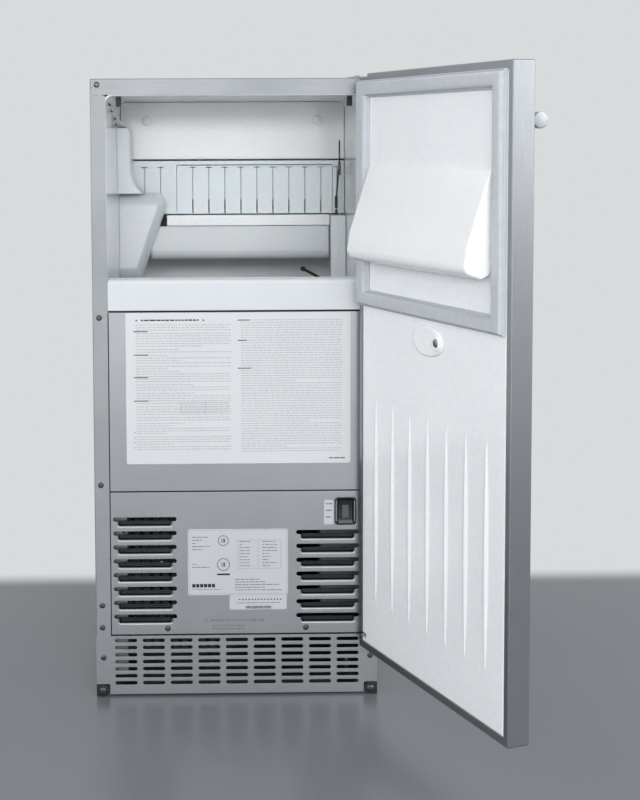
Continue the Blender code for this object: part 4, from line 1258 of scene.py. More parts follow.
@dataclass
class Switch:
    """Bezel fixed to the front and the rocker on its own axis."""

    home: Home
    rocker_home: Home
    centre: Point = (0.1446, 0.2484)
    bezel: Point = (0.0287, 0.0370)
    rocker: Point = (0.0190, 0.0314)
    pivot: float = 0.0040

    def build(self) -> None:
        """Build the bezel, its liner and the rocker with its inlay."""
        x, z = self.centre
        half_w, half_h = self.bezel[0] / 2, self.bezel[1] / 2
        hole = rounded((x - 0.0102, z - 0.0171), (x + 0.0102, z + 0.0171), 0.0012)
        outline = rounded((x - half_w, z - half_h), (x + half_w, z + half_h), 0.0045, 6)
        frame = plate(outline, -0.0030, -0.0003, Plane.XZ, [hole], 0.0007)
        self.home.add("switch_bezel", frame, GLOSS_BLACK, "black_plastic", ["switch_housing"])
        well = rounded((x - 0.0118, z - 0.0160), (x + 0.0118, z + 0.0160), 0.002)
        body = plate(well, -0.0003, 0.0280, Plane.XZ, [hole], 0.0)
        self.home.add("switch_well", body, BLACK_NYLON, "black_plastic")
        rear = plate(shrunk(well, 0.99), 0.0282, 0.0300, Plane.XZ, edge=0.0003)
        self.home.add("switch_rear", rear, BLACK_NYLON, "black_plastic")
        for name, side in (("left", -1), ("right", 1)):
            low = x + side * 0.0122 - 0.0009
            outline = rounded((low, z - 0.0140), (low + 0.0018, z + 0.0140), 0.0008)
            strip = plate(outline, -0.00325, -0.0029)
            self.home.add(f"switch_trim_{name}", strip, ZINC, "zinc")
        back, heel = self.pivot + 0.0060, 0.0060
        section = [(back, z - heel), (back, z + heel)]
        for i in range(17):
            share = 1 - i / 8
            section.append((self.pivot - 0.0070 - 0.0015 * share**2, z + self.rocker[1] / 2 * share))
        half = self.rocker[0] / 2
        stations = ((-half, 0.94), (0.0006 - half, 1.0), (half - 0.0006, 1.0), (half, 0.94))
        loops = [[Vector((x + s, y, v)) for y, v in shrunk(section, k)] for s, k in stations]
        self.rocker_home.add("rocker_paddle", lofted(loops), GLOSS_BLACK, "gloss_black", ["rocker"])
        outline = rounded((x - 0.0042, z - 0.0105), (x + 0.0042, z + 0.0105), 0.0010)
        inlay = plate(outline, -0.00345, -0.00280)
        self.rocker_home.add("rocker_inlay", inlay, GREY_NYLON, "black_plastic")
        levels = [z + 0.0052 * i for i in (-1, 0, 1)]
        ribs = [(x - 0.0034, level - 0.0006, x + 0.0034, level + 0.0006) for level in levels]
        self.rocker_home.add("rocker_ribs", bars(ribs, -0.0034, -0.0038), GREY_NYLON, "black_plastic")


# ---------------------------------------------------------------- bin and freezing chamber


@dataclass
class Bin:
    """White liner of the bin with its clips and probe."""

    home: Home
    half: float = 0.1675
    front: float = 0.0235
    back: float = 0.500
    floor: float = 0.330
    ceiling: float = 0.7970
    wall: float = 0.0024
    corner: float = 0.0090

    def build(self) -> None:
        """Build the liner and the small parts on its walls."""
        self.liner()
        self.clips()
        self.probe()

    def liner(self) -> None:
        """Form the liner as a tub with round corners and a rolled mouth."""

        def level(y: float, grow: float = 0.0) -> list[Vector]:
            outline = rounded(
                (-self.half - grow, self.floor - grow), (self.half + grow, self.ceiling + grow),
                self.corner + grow, 6,
            )
            return [Vector((x, y, z)) for x, z in outline]

        loops = [level(self.back)]
        loops += [level(y) for y in (0.300, 0.100, 0.0045)]
        loops += [level(0.0030, 0.0003), level(0.0021, 0.0010), level(0.0018, self.wall)]
        loops += [level(y, self.wall) for y in (0.100, 0.300, self.back + self.wall)]
        tub = lofted(loops)
        mouth = block((-0.2, -0.010, 0.3), (0.2, self.front - self.wall, 0.5583), 0.0001)
        tub = carved(tub, [mouth])
        self.home.add("bin_tub", tub, WHITE_ABS, "white_abs", ["bin_liner"], smooth=40)
        fence = plate(
            rounded((-self.half - 0.001, self.floor), (self.half + 0.001, 0.5583), 0.0005, 1),
            self.front - self.wall, self.front, edge=0.0005,
        )
        self.home.add("bin_front_wall", fence, WHITE_ABS, "white_abs")

    def clips(self) -> None:
        """Mould the two black clips under the ceiling."""
        for name, side in (("left", -1), ("right", 1)):
            low, high = sorted((side * 0.1560, side * 0.1490))
            body = block((low, 0.0300, 0.7840), (high, 0.0380, self.ceiling - GAP), 0.0008)
            solids = [f"ceiling_clip_{name}"]
            self.home.add(f"roof_clip_{name}", body, BLACK_NYLON, "black_plastic", solids)

    def probe(self) -> None:
        """Build the probe's housing, its rod, and the thin lead with its clips above."""
        body = block((0.1446, 0.2620, 0.5050), (self.half - GAP, 0.2840, 0.6280), 0.0024)
        groove = block((0.1560, 0.2600, 0.5000), (0.1570, 0.2628, 0.6200), 0.0002)
        self.home.add("probe_case", carved(body, [groove]), MILKY, "milky_abs", ["probe_housing"])
        tip, socket = Vector((0.1000, 0.2720, 0.5500)), Vector((0.1433, 0.2720, 0.5270))
        reach, ball = socket - tip, 0.0040
        profile = [(0.0, 0.0)]
        for i in range(1, 10):
            angle = math.radians(15 * i)
            profile.append((ball - ball * math.cos(angle), ball * math.sin(angle)))
        profile += [(ball * 2.1, ball * 0.55), (reach.length, ball * 0.5), (reach.length, 0.0)]
        rod = turned(profile, tip, reach.normalized(), 24)
        self.home.add("probe_rod", rod, BLACK_NYLON, "black_plastic", ["bin_probe"])
        x, y = 0.1580, 0.2720
        up = (0, 0, 1)
        lead = turned([(0.0, 0.0), (0.0, 0.0011), (0.033, 0.0011), (0.033, 0.0)], (x, y, 0.7060), up, 12)
        self.home.add("probe_lead", lead, BLACK_NYLON, "black_plastic")
        profile = [(0.0, 0.0), (0.0, 0.0022), (0.018, 0.0021), (0.021, 0.0013), (0.021, 0.0)]
        sleeve = turned(profile, (x, y, 0.6875), up, 16)
        self.home.add("probe_sleeve", sleeve, GREY_NYLON, "black_plastic")
        path = [
            (x, 0.7000, 0.0012), (x - 0.0014, 0.6960, 0.0013), (x - 0.0022, 0.6860, 0.0013),
            (x - 0.0034, 0.6700, 0.0012), (x - 0.0042, 0.6560, 0.0011),
        ]
        sides = ((-1, -0.0016), (1, -0.0016), (1, 0.0016), (-1, 0.0016))
        arm = lofted([
            [Vector((at + side * wide, y + deep, z)) for side, deep in sides] for at, z, wide in path
        ])
        self.home.add("probe_arm", arm, BLACK_NYLON, "black_plastic")
        foot = block((0.1512, y - 0.0030, 0.6385), (0.1553, y + 0.0030, 0.6560), 0.0007)
        self.home.add("probe_foot", foot, BLACK_NYLON, "black_plastic")
        profile = [(0, 0), (0.0004, 0.0012), (0.0040, 0.0016), (0.0060, 0.0008), (0.0064, 0)]
        dot = turned(profile, (0.1532, y, 0.6310), up, 14)
        self.home.add("probe_dot", dot, BLACK_NYLON, "black_plastic")
        stem = block((x - 0.0002, y - 0.0009, 0.6285), (x + 0.0012, y + 0.0009, 0.6870), 0.0003)
        self.home.add("probe_stem", stem, MILKY, "milky_abs")


@dataclass
class Chamber:
    """Shroud, ledge, trough and the milky covers of the freezing chamber."""

    home: Home
    curtain_home: Home
    half: float = 0.1672
    front: float = 0.3000
    trough_x: Point = (-0.1223, 0.1431)
    curtain: float = 0.2950
    pitch: float = 0.0240
    slits: int = 14

    def build(self) -> None:
        """Build the chamber's visible parts."""
        self.shroud()
        self.ledge_and_trough()
        self.strips()
        self.pump_cover()
        self.fill_cover()

    def strips(self) -> None:
        """Cut the milky strips: fixed ones at both ends and the flap that swings between them."""
        low, hinge, high, left, right = 0.6300, 0.7022, 0.7090, -0.0837, 0.1490
        band, gap, half = hinge + 0.0012, 0.0006, self.half - 0.0006
        outline = [
            (-half, low), (left - gap, low), (left - gap, band), (right + gap, band), (right + gap, low),
            (half, low), (half, high), (-half, high),
        ]
        slits = [self.pitch * (i - (self.slits - 1) / 2) for i in range(self.slits)]
        fixed = [self.tee(x, low) for x in slits if x < left - 0.005 or x > right + 0.005]
        header = plate(outline, self.curtain, self.curtain + 0.0014, Plane.XZ, fixed, 0.0002)
        self.home.add("strip_header", header, MILKY, "milky_abs", ["curtain_header"])
        cuts = [self.tee(x, low) for x in slits if left + 0.005 < x < right - 0.003]
        flap = plate(
            [(left, low), (right, low), (right, hinge), (left, hinge)],
            self.curtain, self.curtain + 0.0014, Plane.XZ, cuts, 0.0002,
        )
        self.curtain_home.add("strip_flap", flap, MILKY, "milky_abs", ["water_curtain"])

    @staticmethod
    def tee(x: float, low: float) -> Outline:
        """Give the cut between two strips: a short bar above a slit that widens low down.

        Args:
            x: Where the slit stands.
            low: Height of the strips' lower edge.

        Returns:
            The cut's outline.
        """
        top, bar, slit, wide = low + 0.0700, 0.0048, 0.00038, 0.00085
        right = [(wide, low + 0.0006), (wide, low + 0.0200), (slit, low + 0.0210), (slit, top - 0.0013)]
        right += [(bar, top - 0.0013), (bar, top)]
        return [(x + u, z) for u, z in right] + [(x - u, z) for u, z in reversed(right)]

    def shroud(self) -> None:
        """Mould the shroud with its two bosses and a rolled lower edge."""
        outline = rounded((-self.half, 0.7120), (self.half, 0.7967), 0.0010, 2)
        bm = plate(outline, self.front, self.front + 0.0025, edge=0.0008)
        self.home.add("shroud_plate", bm, WHITE_ABS, "white_abs", ["evaporator_shroud"])
        profile = [
            (0.0, 0.0), (0.0, 0.0050), (0.0004, 0.0064), (0.0009, 0.0074),
            (0.0016, 0.0078), (0.0024, 0.0078), (0.0024, 0.0),
        ]
        for name, side in (("left", -1), ("right", 1)):
            boss = turned(profile, (side * 0.128, self.front - 0.0022, 0.769), (0, 1, 0), 40)
            self.home.add(f"shroud_boss_{name}", boss, WHITE_ABS, "white_abs")
        roll = turned(
            [(0.0, 0.0), (0.0, 0.0013), (2 * self.half - 0.001, 0.0013), (2 * self.half - 0.001, 0.0)],
            (0.0005 - self.half, self.front + 0.0002, 0.7126), (1, 0, 0), 16,
        )
        self.home.add("shroud_roll", roll, WHITE_ABS, "white_abs")

    def ledge_and_trough(self) -> None:
        """Extrude the ledge under the strips and the water trough below it."""
        section = rounded((0.2850, 0.6122), (self.front, 0.6284), 0.0016, 4)
        loops = [[Vector((x, y, z)) for y, z in section] for x in (-0.0985, 0.1440)]
        self.home.add("strip_ledge", lofted(loops), WHITE_ABS, "white_abs", ["curtain_ledge"])
        near, far, low, high, wall, radius = 0.2795, 0.4800, 0.5620, 0.6117, 0.0025, 0.0150
        outer = [(near + 0.0035, high), (near + 0.0010, high - 0.012)]
        outer += arc((near + radius, low + radius), radius, 180, 270, 12)
        outer += [*arc((far - radius, low + radius), radius, 270, 360, 6), (far, high)]
        inner = [(far - wall, high), (far - wall, low + radius)]
        inner += arc((far - radius, low + radius), radius - wall, 360, 270, 6)
        inner += arc((near + radius, low + radius), radius - wall, 270, 180, 12)
        inner += [(near + 0.0010 + wall, high - 0.012), (near + 0.0035 + wall, high)]
        shell = [[Vector((x, y, z)) for y, z in outer + inner] for x in self.trough_x]
        # the trough's greyer white is painted shade
        self.home.add("trough_shell", lofted(shell), SHADED_WHITE_ABS, "white_abs", ["water_trough"])
        for name, x in (("left", self.trough_x[0]), ("right", self.trough_x[1] - wall)):
            end = plate(outer, x + 0.0001, x + wall - 0.0001, Plane.YZ, edge=0.0006)
            self.home.add(f"trough_end_{name}", end, SHADED_WHITE_ABS, "white_abs")

    def pump_cover(self) -> None:
        """Form the pump's cover: a leaning shell with a round shoulder."""
        wall = -self.half
        rear = [(wall, 0.5312), (-0.1384, 0.5312), (-0.1370, 0.5330), (-0.1035, 0.6290)]
        rear += [*arc((-0.1165, 0.6455), 0.0168, -14, 90, 9), (-0.1400, 0.6625), (wall, 0.6625)]
        face = [(wall, 0.5540), (-0.1442, 0.5543), (-0.1433, 0.5552), (-0.1142, 0.6385)]
        face += [*arc((-0.1150, 0.6418), 0.0018, -14, 90, 9), (-0.1400, 0.6436), (wall, 0.6436)]
        near, far = 0.2500, 0.2770

        def level(share: float, y: float) -> list[Vector]:
            return [
                Vector((a[0] + (b[0] - a[0]) * share, y, a[1] + (b[1] - a[1]) * share))
                for a, b in zip(face, rear)
            ]

        loops = []
        for i in range(10):
            turn = math.radians(90 * i / 9)
            bulge, straight = math.sin(turn), i / 9
            deep = 0.62 * straight + 0.38 * (1 - math.cos(turn))
            loops.append(level(0.62 * straight + 0.38 * bulge, near + (far - near) * deep))
        self.home.add("pump_shell", lofted(loops), MILKY, "milky_abs", ["pump_cover"], smooth=50)

    def fill_cover(self) -> None:
        """Form the upright fill cover, which flares at its foot, and the strip above it."""
        wall, foot, top = -self.half, 0.6632, 0.7577
        rows = []
        for i in range(15):
            share = i / 14
            z = foot + (top - foot) * share
            flare = 0.0165 * max(0.0, 1 - share / 0.42) ** 2.4
            shoulder = 0.0035 * max(0.0, (share - 0.9) / 0.1) ** 2
            right = -0.1480 + flare - shoulder
            radius = 0.0040
            section = [(wall, 0.2770), (wall, 0.2170)]
            section += [*arc((right - radius, 0.2170 + radius), radius, -90, 0, 5), (right, 0.2770)]
            rows.append([Vector((x, y, z)) for x, y in section])
        self.home.add("fill_shell", lofted(rows), MILKY, "milky_abs", ["fill_cover"], smooth=40)
        strip = []
        for i in range(11):
            share = i / 10
            y = 0.0500 + 0.1900 * share
            x = wall + 0.0012 + 0.0130 * share**2.2
            z = 0.7925 - 0.0340 * share**0.8
            strip.append([
                Vector((wall + 0.0004, y, z - 0.0016)), Vector((x, y, z - 0.0016)),
                Vector((x, y, z + 0.0004)), Vector((wall + 0.0004, y, z + 0.0004)),
            ])
        self.home.add("fill_strip", lofted(strip), MILKY, "milky_abs", smooth=50)
        pins = [(0.055, 0.787, 0.0016), (0.090, 0.779, 0.0013), (0.150, 0.770, 0.0015)]
        pins.append((0.165, 0.762, 0.0011))
        for number, (y, z, radius) in enumerate(pins, 1):
            profile = [(0, 0), (0, radius), (0.0030, radius * 0.8), (0.0036, 0)]
            pin = turned(profile, (wall + 0.0002, y, z), (1, 0, 0), 14)
            self.home.add(f"fill_pin_{number}", pin, GREY_NYLON, "black_plastic")


# ---------------------------------------------------------------- machine and feet


@dataclass
class Machine:
    """What shows through the vents and at the back, and the feet under the case."""

    home: Home
    feet: dict[str, Home]
    depth: float = 0.570

    def build(self) -> None:
        """Build the bracket behind the louvres, the connections and the feet."""
        bracket = plate(
            [(-0.1660, 0.0240), (-0.1455, 0.0240), (-0.1455, 0.2600), (-0.1660, 0.2600)], 0.0130, 0.0142,
            holes=[circle((-0.1500, 0.2195), 0.0030, 20)], edge=0.0003,
        )
        self.home.add("condenser_bracket", bracket, GALVANISED, "galvanised")
        profile = [(0, 0), (0, 0.0026), (0.0030, 0.0026), (0.0030, 0.0)]
        ring = turned(profile, (-0.1500, 0.0135, 0.2195), (0, 1, 0), 20)
        self.home.add("bracket_plug", ring, BLACK_NYLON, "black_plastic")
        tray = block((0.1135, 0.0300, 0.1120), (0.1660, 0.0330, 0.2290), 0.0006)
        self.home.add("control_front", tray, GREY_NYLON, "black_plastic")
        for number, (x, z) in enumerate(((0.1215, 0.2197), (0.1320, 0.2012), (0.1255, 0.2012)), 1):
            plug = block((x, 0.0240, z - 0.004), (x + 0.0050, 0.0300, z + 0.004), 0.0006)
            self.home.add(f"control_plug_{number}", plug, GLOSS_BLACK, "black_plastic")
        self.inlet()
        self.drain()
        for name, home in self.feet.items():
            self.foot(name, home)

    def inlet(self) -> None:
        """Turn the brass inlet with its thread and bore."""
        length, start = 0.0660, self.depth - 0.0480
        profile = [(0.0, 0.0), (0.0, 0.0175), (0.0006, 0.0180)]
        profile += [(0.0370, 0.0180), (0.0380, 0.0172), (0.0385, 0.0100)]
        turns = 13
        for i in range(turns):
            at = 0.0440 + 0.0016 * i
            profile += [(at, 0.0093), (at + 0.0008, 0.0100)]
        profile += [(length - 0.0006, 0.0094), (length, 0.0090)]
        profile += [(length, 0.0060), (0.0500, 0.0060), (0.0500, 0.0)]
        bm = turned(profile, (-0.1200, start, 0.1000), (0, 1, 0), 40)
        self.home.add("inlet_body", bm, BRASS, "brass", ["water_inlet_valve"])

    def drain(self) -> None:
        """Turn the drain spigot with its barbs."""
        profile = [(0.0, 0.0), (0.0, 0.0150), (0.0175, 0.0150), (0.0180, 0.0144), (0.0185, 0.0100)]
        for i in range(3):
            at = 0.0310 + 0.0050 * i
            profile += [(at, 0.0098), (at + 0.0004, 0.0110), (at + 0.0046, 0.0099)]
        profile += [(0.0476, 0.0098), (0.0480, 0.0095), (0.0480, 0.0075), (0.0150, 0.0075), (0.0150, 0.0)]
        bm = turned(profile, (0.1200, self.depth - 0.0300, 0.0450), (0, 1, 0), 36)
        self.home.add("drain_barb", bm, BLACK_NYLON, "black_plastic", ["drain_spigot"])

    def foot(self, name: str, home: Home) -> None:
        """Mould one levelling foot with a hexagon for the spanner.

        Args:
            name: Its fixed solid.
            home: Its own turning group, built about the solid's axis.
        """
        low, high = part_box(name)
        x, y = (low[0] + high[0]) / 2, (low[1] + high[1]) / 2
        profile = [(0.0, 0.0), (0.0, 0.0158), (0.0008, 0.0168), (0.0052, 0.0170)]
        profile += [(0.0064, 0.0160), (0.0090, 0.0090), (0.0100, 0.0084), (0.0100, 0.0)]
        pad = turned(profile, (x, y, 0.0), (0, 0, 1), 36)
        nut = plate(circle((x, y), 0.0084, 6), 0.0100, 0.0195, Plane.XY, edge=0.0006)
        stud = [(0.0, 0.0), (0.0, 0.0040)]
        for i in range(11):
            stud += [(0.0010 + 0.0016 * i, 0.0036), (0.0018 + 0.0016 * i, 0.0040)]
        stud += [(0.0186, 0.0034), (0.0186, 0.0)]
        home.add(f"{name}_pad", joined(pad, nut), BLACK_NYLON, "black_plastic", [name])
        home.add(f"{name}_stud", turned(stud, (x, y, 0.0194), (0, 0, 1), 20), ZINC, "zinc")


# ---------------------------------------------------------------- door


@dataclass
class Door:
    """The swinging door, built shut: skin, formed liner, seal, ice deflector and handle."""

    home: Home
    hinge_x: float = 0.1875
    width: float = 0.3730
    low: float = 0.0724
    high: float = 0.8237
    inner: float = -0.0100
    thick: float = 0.0275
    hem: float = 0.0090
    pocket_x: float = 0.1655

    def across(self, distance: float) -> float:
        """Give X of a distance from the hinge edge."""
        return self.hinge_x - distance

    def pockets(self) -> list[BMesh]:
        """Make the cutters for the room that the hinge arms sweep."""
        near, far = self.inner - self.thick + 0.0013, 0.0
        return [
            block((self.pocket_x, near, low), (0.2000, far, high), 0.0002)
            for low, high in ((0.0880, 0.0945), (0.8188, 0.8337))
        ]

    def build(self) -> None:
        """Build every piece of the door."""
        self.skin()
        self.liner()
        self.seal()
        self.deflector()
        self.cover()
        self.handle()

    def skin(self) -> None:
        """Fold the steel skin round the door's edges into a hem."""
        left, right, fold, corner = self.across(self.width), self.across(0.0), 0.0016, 0.0018
        outer = self.inner - self.thick

        def level(inset: float, y: float) -> list[Vector]:
            low, high = (left + inset, self.low + inset), (right - inset, self.high - inset)
            outline = rounded(low, high, max(corner - inset, 0.0005), 4)
            return [Vector((x, y, z)) for x, z in outline]

        loops = [level(0.0010, outer + 0.0010), level(0.0010, self.inner - 0.0012)]
        loops += [level(self.hem, self.inner - 0.0010), level(self.hem + 0.0001, self.inner - 0.0002)]
        loops += [level(self.hem - 0.0003, self.inner)]
        for i in range(6):
            angle = math.radians(90 * i / 5)
            loops.append(level(fold - fold * math.sin(angle), self.inner - fold + fold * math.cos(angle)))
        for i in range(6):
            angle = math.radians(90 * i / 5)
            loops.append(level(fold - fold * math.cos(angle), outer + fold - fold * math.sin(angle)))
        skin = carved(lofted(loops), self.pockets())
        self.home.add("door_sheet", skin, DOOR_STEEL, "stainless", ["door_skin"])

    def liner(self) -> None:
        """Form the white liner with its seven lens-shaped ribs."""
        edge = self.hem + 0.0004
        left, right = self.across(self.width) + edge, self.across(0.0) - edge
        low, high = self.low + edge, self.high - edge
        middle = self.across(self.width / 2)
        ribs = [middle + 0.0457 * (i - 3) for i in range(7)]
        rib_low, rib_high, half, proud = 0.140, 0.410, 0.0072, 0.0024

        def height(x: float, z: float) -> float:
            """Give the face's Y over the liner."""
            made = self.inner
            share = (z - rib_low) / (rib_high - rib_low)
            if 0 < share < 1:
                reach = half * math.sin(math.pi * share) ** 0.75
                for centre in ribs:
                    off = abs(x - centre) / max(reach, 1e-6)
                    if off < 1:
                        made += proud * math.sin(math.pi * share) ** 0.5 * math.cos(math.pi / 2 * off) ** 2
            rim = min(x - left, right - x, z - low, high - z)
            if rim < 0.0030:
                made -= 0.0014 * (1 - rim / 0.0030) ** 2
            return made

        steps = (0.0, 0.0008, 0.0016, 0.0030)
        columns = sorted({
            *[left + step for step in steps], *[right - step for step in steps],
            *[centre + half * k / 6 for centre in ribs for k in range(-6, 7)],
        })
        rows = sorted({
            *[low + step for step in steps], *[high - step for step in steps],
            *[rib_low + (rib_high - rib_low) * i / 48 for i in range(49)], 0.110, 0.450, 0.52, 0.62, 0.72,
        })
        bm = pillow(columns, rows, height, self.inner - 0.0024)
        bm = carved(bm, self.pockets())
        self.home.add("liner_panel", bm, FORMED_ABS, "white_abs", ["door_liner"], smooth=40)

    def seal(self) -> None:
        """Extrude the seal's hollow section round a mitred frame."""
        base = self.inner + GAP
        outer, inside = (0.0002, 0.362, 0.5258, 0.8147), (0.030, 0.339, 0.5473, 0.7929)
        section = [
            (0.00, 0.0), (0.00, 0.0020), (0.02, 0.0032), (0.05, 0.0036), (0.08, 0.0030), (0.10, 0.0042),
            (0.14, 0.0066), (0.19, 0.0078), (0.26, 0.0083), (0.40, 0.0085), (0.60, 0.0085),
            (0.74, 0.0083), (0.82, 0.0077),
            (0.87, 0.0064), (0.90, 0.0040), (0.92, 0.0024), (0.96, 0.0028), (1.00, 0.0018), (1.00, 0.0),
        ]
        loops = []
        for share, proud in section:
            u0, u1, z0, z1 = (a + (b - a) * share for a, b in zip(outer, inside))
            x0, x1 = self.across(u1), self.across(u0)
            loops.append([Vector((x, base + proud, z)) for x, z in ((x0, z0), (x1, z0), (x1, z1), (x0, z1))])
        self.home.add("seal_frame", lofted(loops, ring=True), SEAL, "gasket", ["door_gasket"], smooth=38)

    def deflector(self) -> None:
        """Mould the hollow ice deflector with soft ends and a rolled lip."""
        base = self.inner + GAP
        section = [(base, 0.5950), (base, 0.7060), (base + 0.0016, 0.7062), (base + 0.0032, 0.7050)]
        section += [(base + 0.0120, 0.6795), (base + 0.0220, 0.6500), (base + 0.0315, 0.6220)]
        section += arc((base + 0.0235, 0.6005), 0.0115, 25, -75, 9)
        section += [(base + 0.0160, 0.5856), (base + 0.0060, 0.5895)]
        left, right = self.across(0.335), self.across(0.033)
        loops = []
        stations = []
        radius = 0.0045
        for i in range(7):
            angle = math.radians(90 * i / 6)
            stations.append((radius - radius * math.sin(angle), radius * (1 - math.cos(angle))))
        for back, drop in stations[::-1]:
            loops.append(self.deflector_level(section, left + back, drop))
        for back, drop in stations:
            loops.append(self.deflector_level(section, right - back, drop))
        self.home.add("deflector_scoop", lofted(loops), WHITE_ABS, "white_abs", ["ice_deflector"], smooth=50)

    def deflector_level(self, section: Outline, x: float, drop: float) -> list[Vector]:
        """Pull the front of a section in towards the door by a distance.

        Args:
            section: Pairs of Y and Z.
            x: Where the section stands.
            drop: How far its front and its edges are pulled in.

        Returns:
            The section's points.
        """
        base = self.inner + GAP
        deepest = max(y for y, _ in section) - base
        points = []
        for y, z in section:
            share = (y - base) / deepest
            lift = 0.6470 - z
            points.append(Vector((x, y - drop * share, z + drop * lift / 0.060 * 0.5)))
        return points

    def cover(self) -> None:
        """Mould the oval cover with its screw boss, and put the screw in."""
        base, u, z = self.inner + GAP, 0.188, 0.5006
        half_w, half_h = 0.0375, 0.0185
        loops = []
        dome = ((1.0, 0.0), (1.0, 0.0010), (0.985, 0.0017), (0.95, 0.0023), (0.90, 0.0027), (0.80, 0.0030))
        for scale, proud in dome:
            points = []
            for i in range(48):
                a = 2 * math.pi * i / 48
                x = self.across(u) + half_w * scale * math.cos(a)
                points.append(Vector((x, base + proud, z + half_h * scale * math.sin(a))))
            loops.append(points)
        self.home.add("oval_cover", lofted(loops), FORMED_ABS, "white_abs", ["door_boss_cover"])
        x = self.across(0.212)
        profile = [(0, 0), (0, 0.0098), (0.0008, 0.0096), (0.0016, 0.0086), (0.0018, 0.0070)]
        profile += [(0.0008, 0.0064), (0.0008, 0)]
        boss = turned(profile, (x, base + 0.0028, z), (0, 1, 0), 36)
        self.home.add("cover_boss", boss, FORMED_ABS, "white_abs")
        screws = Screws(self.home, "cover_screw", 0.0052, 0.0018)
        screws.drive((x, base + 0.0036, z), (0, 1, 0), 30)
        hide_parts("door_boss_screw")

    def handle(self) -> None:
        """Turn the towel-bar handle and its two posts."""
        y, z, radius, half = self.inner - self.thick - 0.0250, 0.7595, 0.00915, 0.1575
        profile = [(0.0, 0.0), (0.0, radius - 0.0010), (0.0003, radius - 0.0003), (0.0010, radius)]
        length = 2 * half
        profile += [(0.02, radius), (length - 0.02, radius), (length - 0.0010, radius)]
        profile += [(length - 0.0003, radius - 0.0003), (length, radius - 0.0010), (length, 0.0)]
        bar = turned(profile, (-half, y, z), (1, 0, 0), 48)
        self.home.add("handle_tube", bar, DOOR_STEEL, "stainless", ["handle_bar"])
        outer = self.inner - self.thick
        reach = 0.0250 - radius + 0.0030
        for name, x in (("left", -0.1290), ("right", 0.1290)):
            stem = [(0, 0), (0, 0.0078), (0.0010, 0.0080), (0.0022, 0.0072), (0.0030, 0.0064)]
            stem += [(reach, 0.0062), (reach, 0)]
            post = turned(stem, (x, outer - 0.0001, z), (0, -1, 0), 32)
            self.home.add(f"handle_stem_{name}", post, GREY_NYLON, "black_plastic", [f"handle_post_{name}"])


@dataclass
class Hinges:
    """Brackets on the case and pins in the door."""

    home: Home
    door_home: Home
    pivot: Point = (0.1778, -0.0241)

    def build(self) -> None:
        """Build both brackets and both pins."""
        x, y = self.pivot
        half, right, seat_x, seat_y, face = 0.0060, 0.1872, 0.1500, 0.0450, 0.0020
        hole = circle(self.pivot, 0.0034, 24)
        nose = arc(self.pivot, half, 180, 360, 12)
        plan = [*nose, (x + half, face), (right, face), (right, seat_y)]
        plan += [(seat_x + 0.004, seat_y), (seat_x, seat_y - 0.004)]
        plan += [(seat_x, face + 0.004), (seat_x + 0.004, face)]
        plan += [(x - half, face)]
        upper = plate(plan, 0.8194, 0.8214, Plane.XY, [hole], 0.0004)
        self.home.add("upper_arm", upper, ZINC, "zinc", ["upper_hinge_bracket"])
        arm = [*nose, (x + half, -0.0004), (x - half, -0.0004)]
        lower = plate(arm, 0.0900, 0.0925, Plane.XY, [hole], 0.0004)
        leg = plate(rounded((0.1687, 0.0860), (right, 0.1260), 0.0020), -0.0021, -GAP, Plane.XZ, edge=0.0003)
        self.home.add("lower_arm", joined(lower, leg), ZINC, "zinc", ["lower_hinge_bracket"])
        for name, start, length in (("upper", 0.8040, 0.0186), ("lower", 0.0780, 0.0240)):
            profile = [(0, 0), (0, 0.0026), (0.0006, 0.0030)]
            profile += [(length - 0.0008, 0.0030), (length, 0.0024), (length, 0)]
            pin = turned(profile, (x, y, start), (0, 0, 1), 28)
            self.door_home.add(f"{name}_pin", pin, ZINC, "zinc", [f"{name}_hinge_pin"])


# ---------------------------------------------------------------- carried-over solids


KEPT: dict[str, Finish] = {
    "base_pan": GALVANISED, "cabinet_insulation": FOAM, "door_insulation": FOAM,
    "circulation_pump": BLACK_NYLON, "pump_impeller": WHITE_ABS,
    "compressor": BLACK_ENAMEL, "condenser": BLACK_ENAMEL, "fan_shroud": GALVANISED,
    "fan_motor": BLACK_ENAMEL,
    "fan_blade": BLACK_NYLON, "control_box": GREY_NYLON, "filter_drier": COPPER, "evaporator_coil": COPPER,
    "evaporator_plate": TINNED, "spray_bar": MILKY,
}


def dress_kept(nodes: Iterable[str]) -> None:
    """Give each carried-over solid its finish.

    Args:
        nodes: The names of all solids.
    """
    for name in nodes:
        finish = KEPT.get(name)
        if not finish:
            continue
        mesh = bpy.data.objects[name].data
        mesh.materials.clear()
        mesh.materials.append(finish.material())
        LOG.info("%s keeps its shape, in %s", name, finish.name)


# ---------------------------------------------------------------- studio


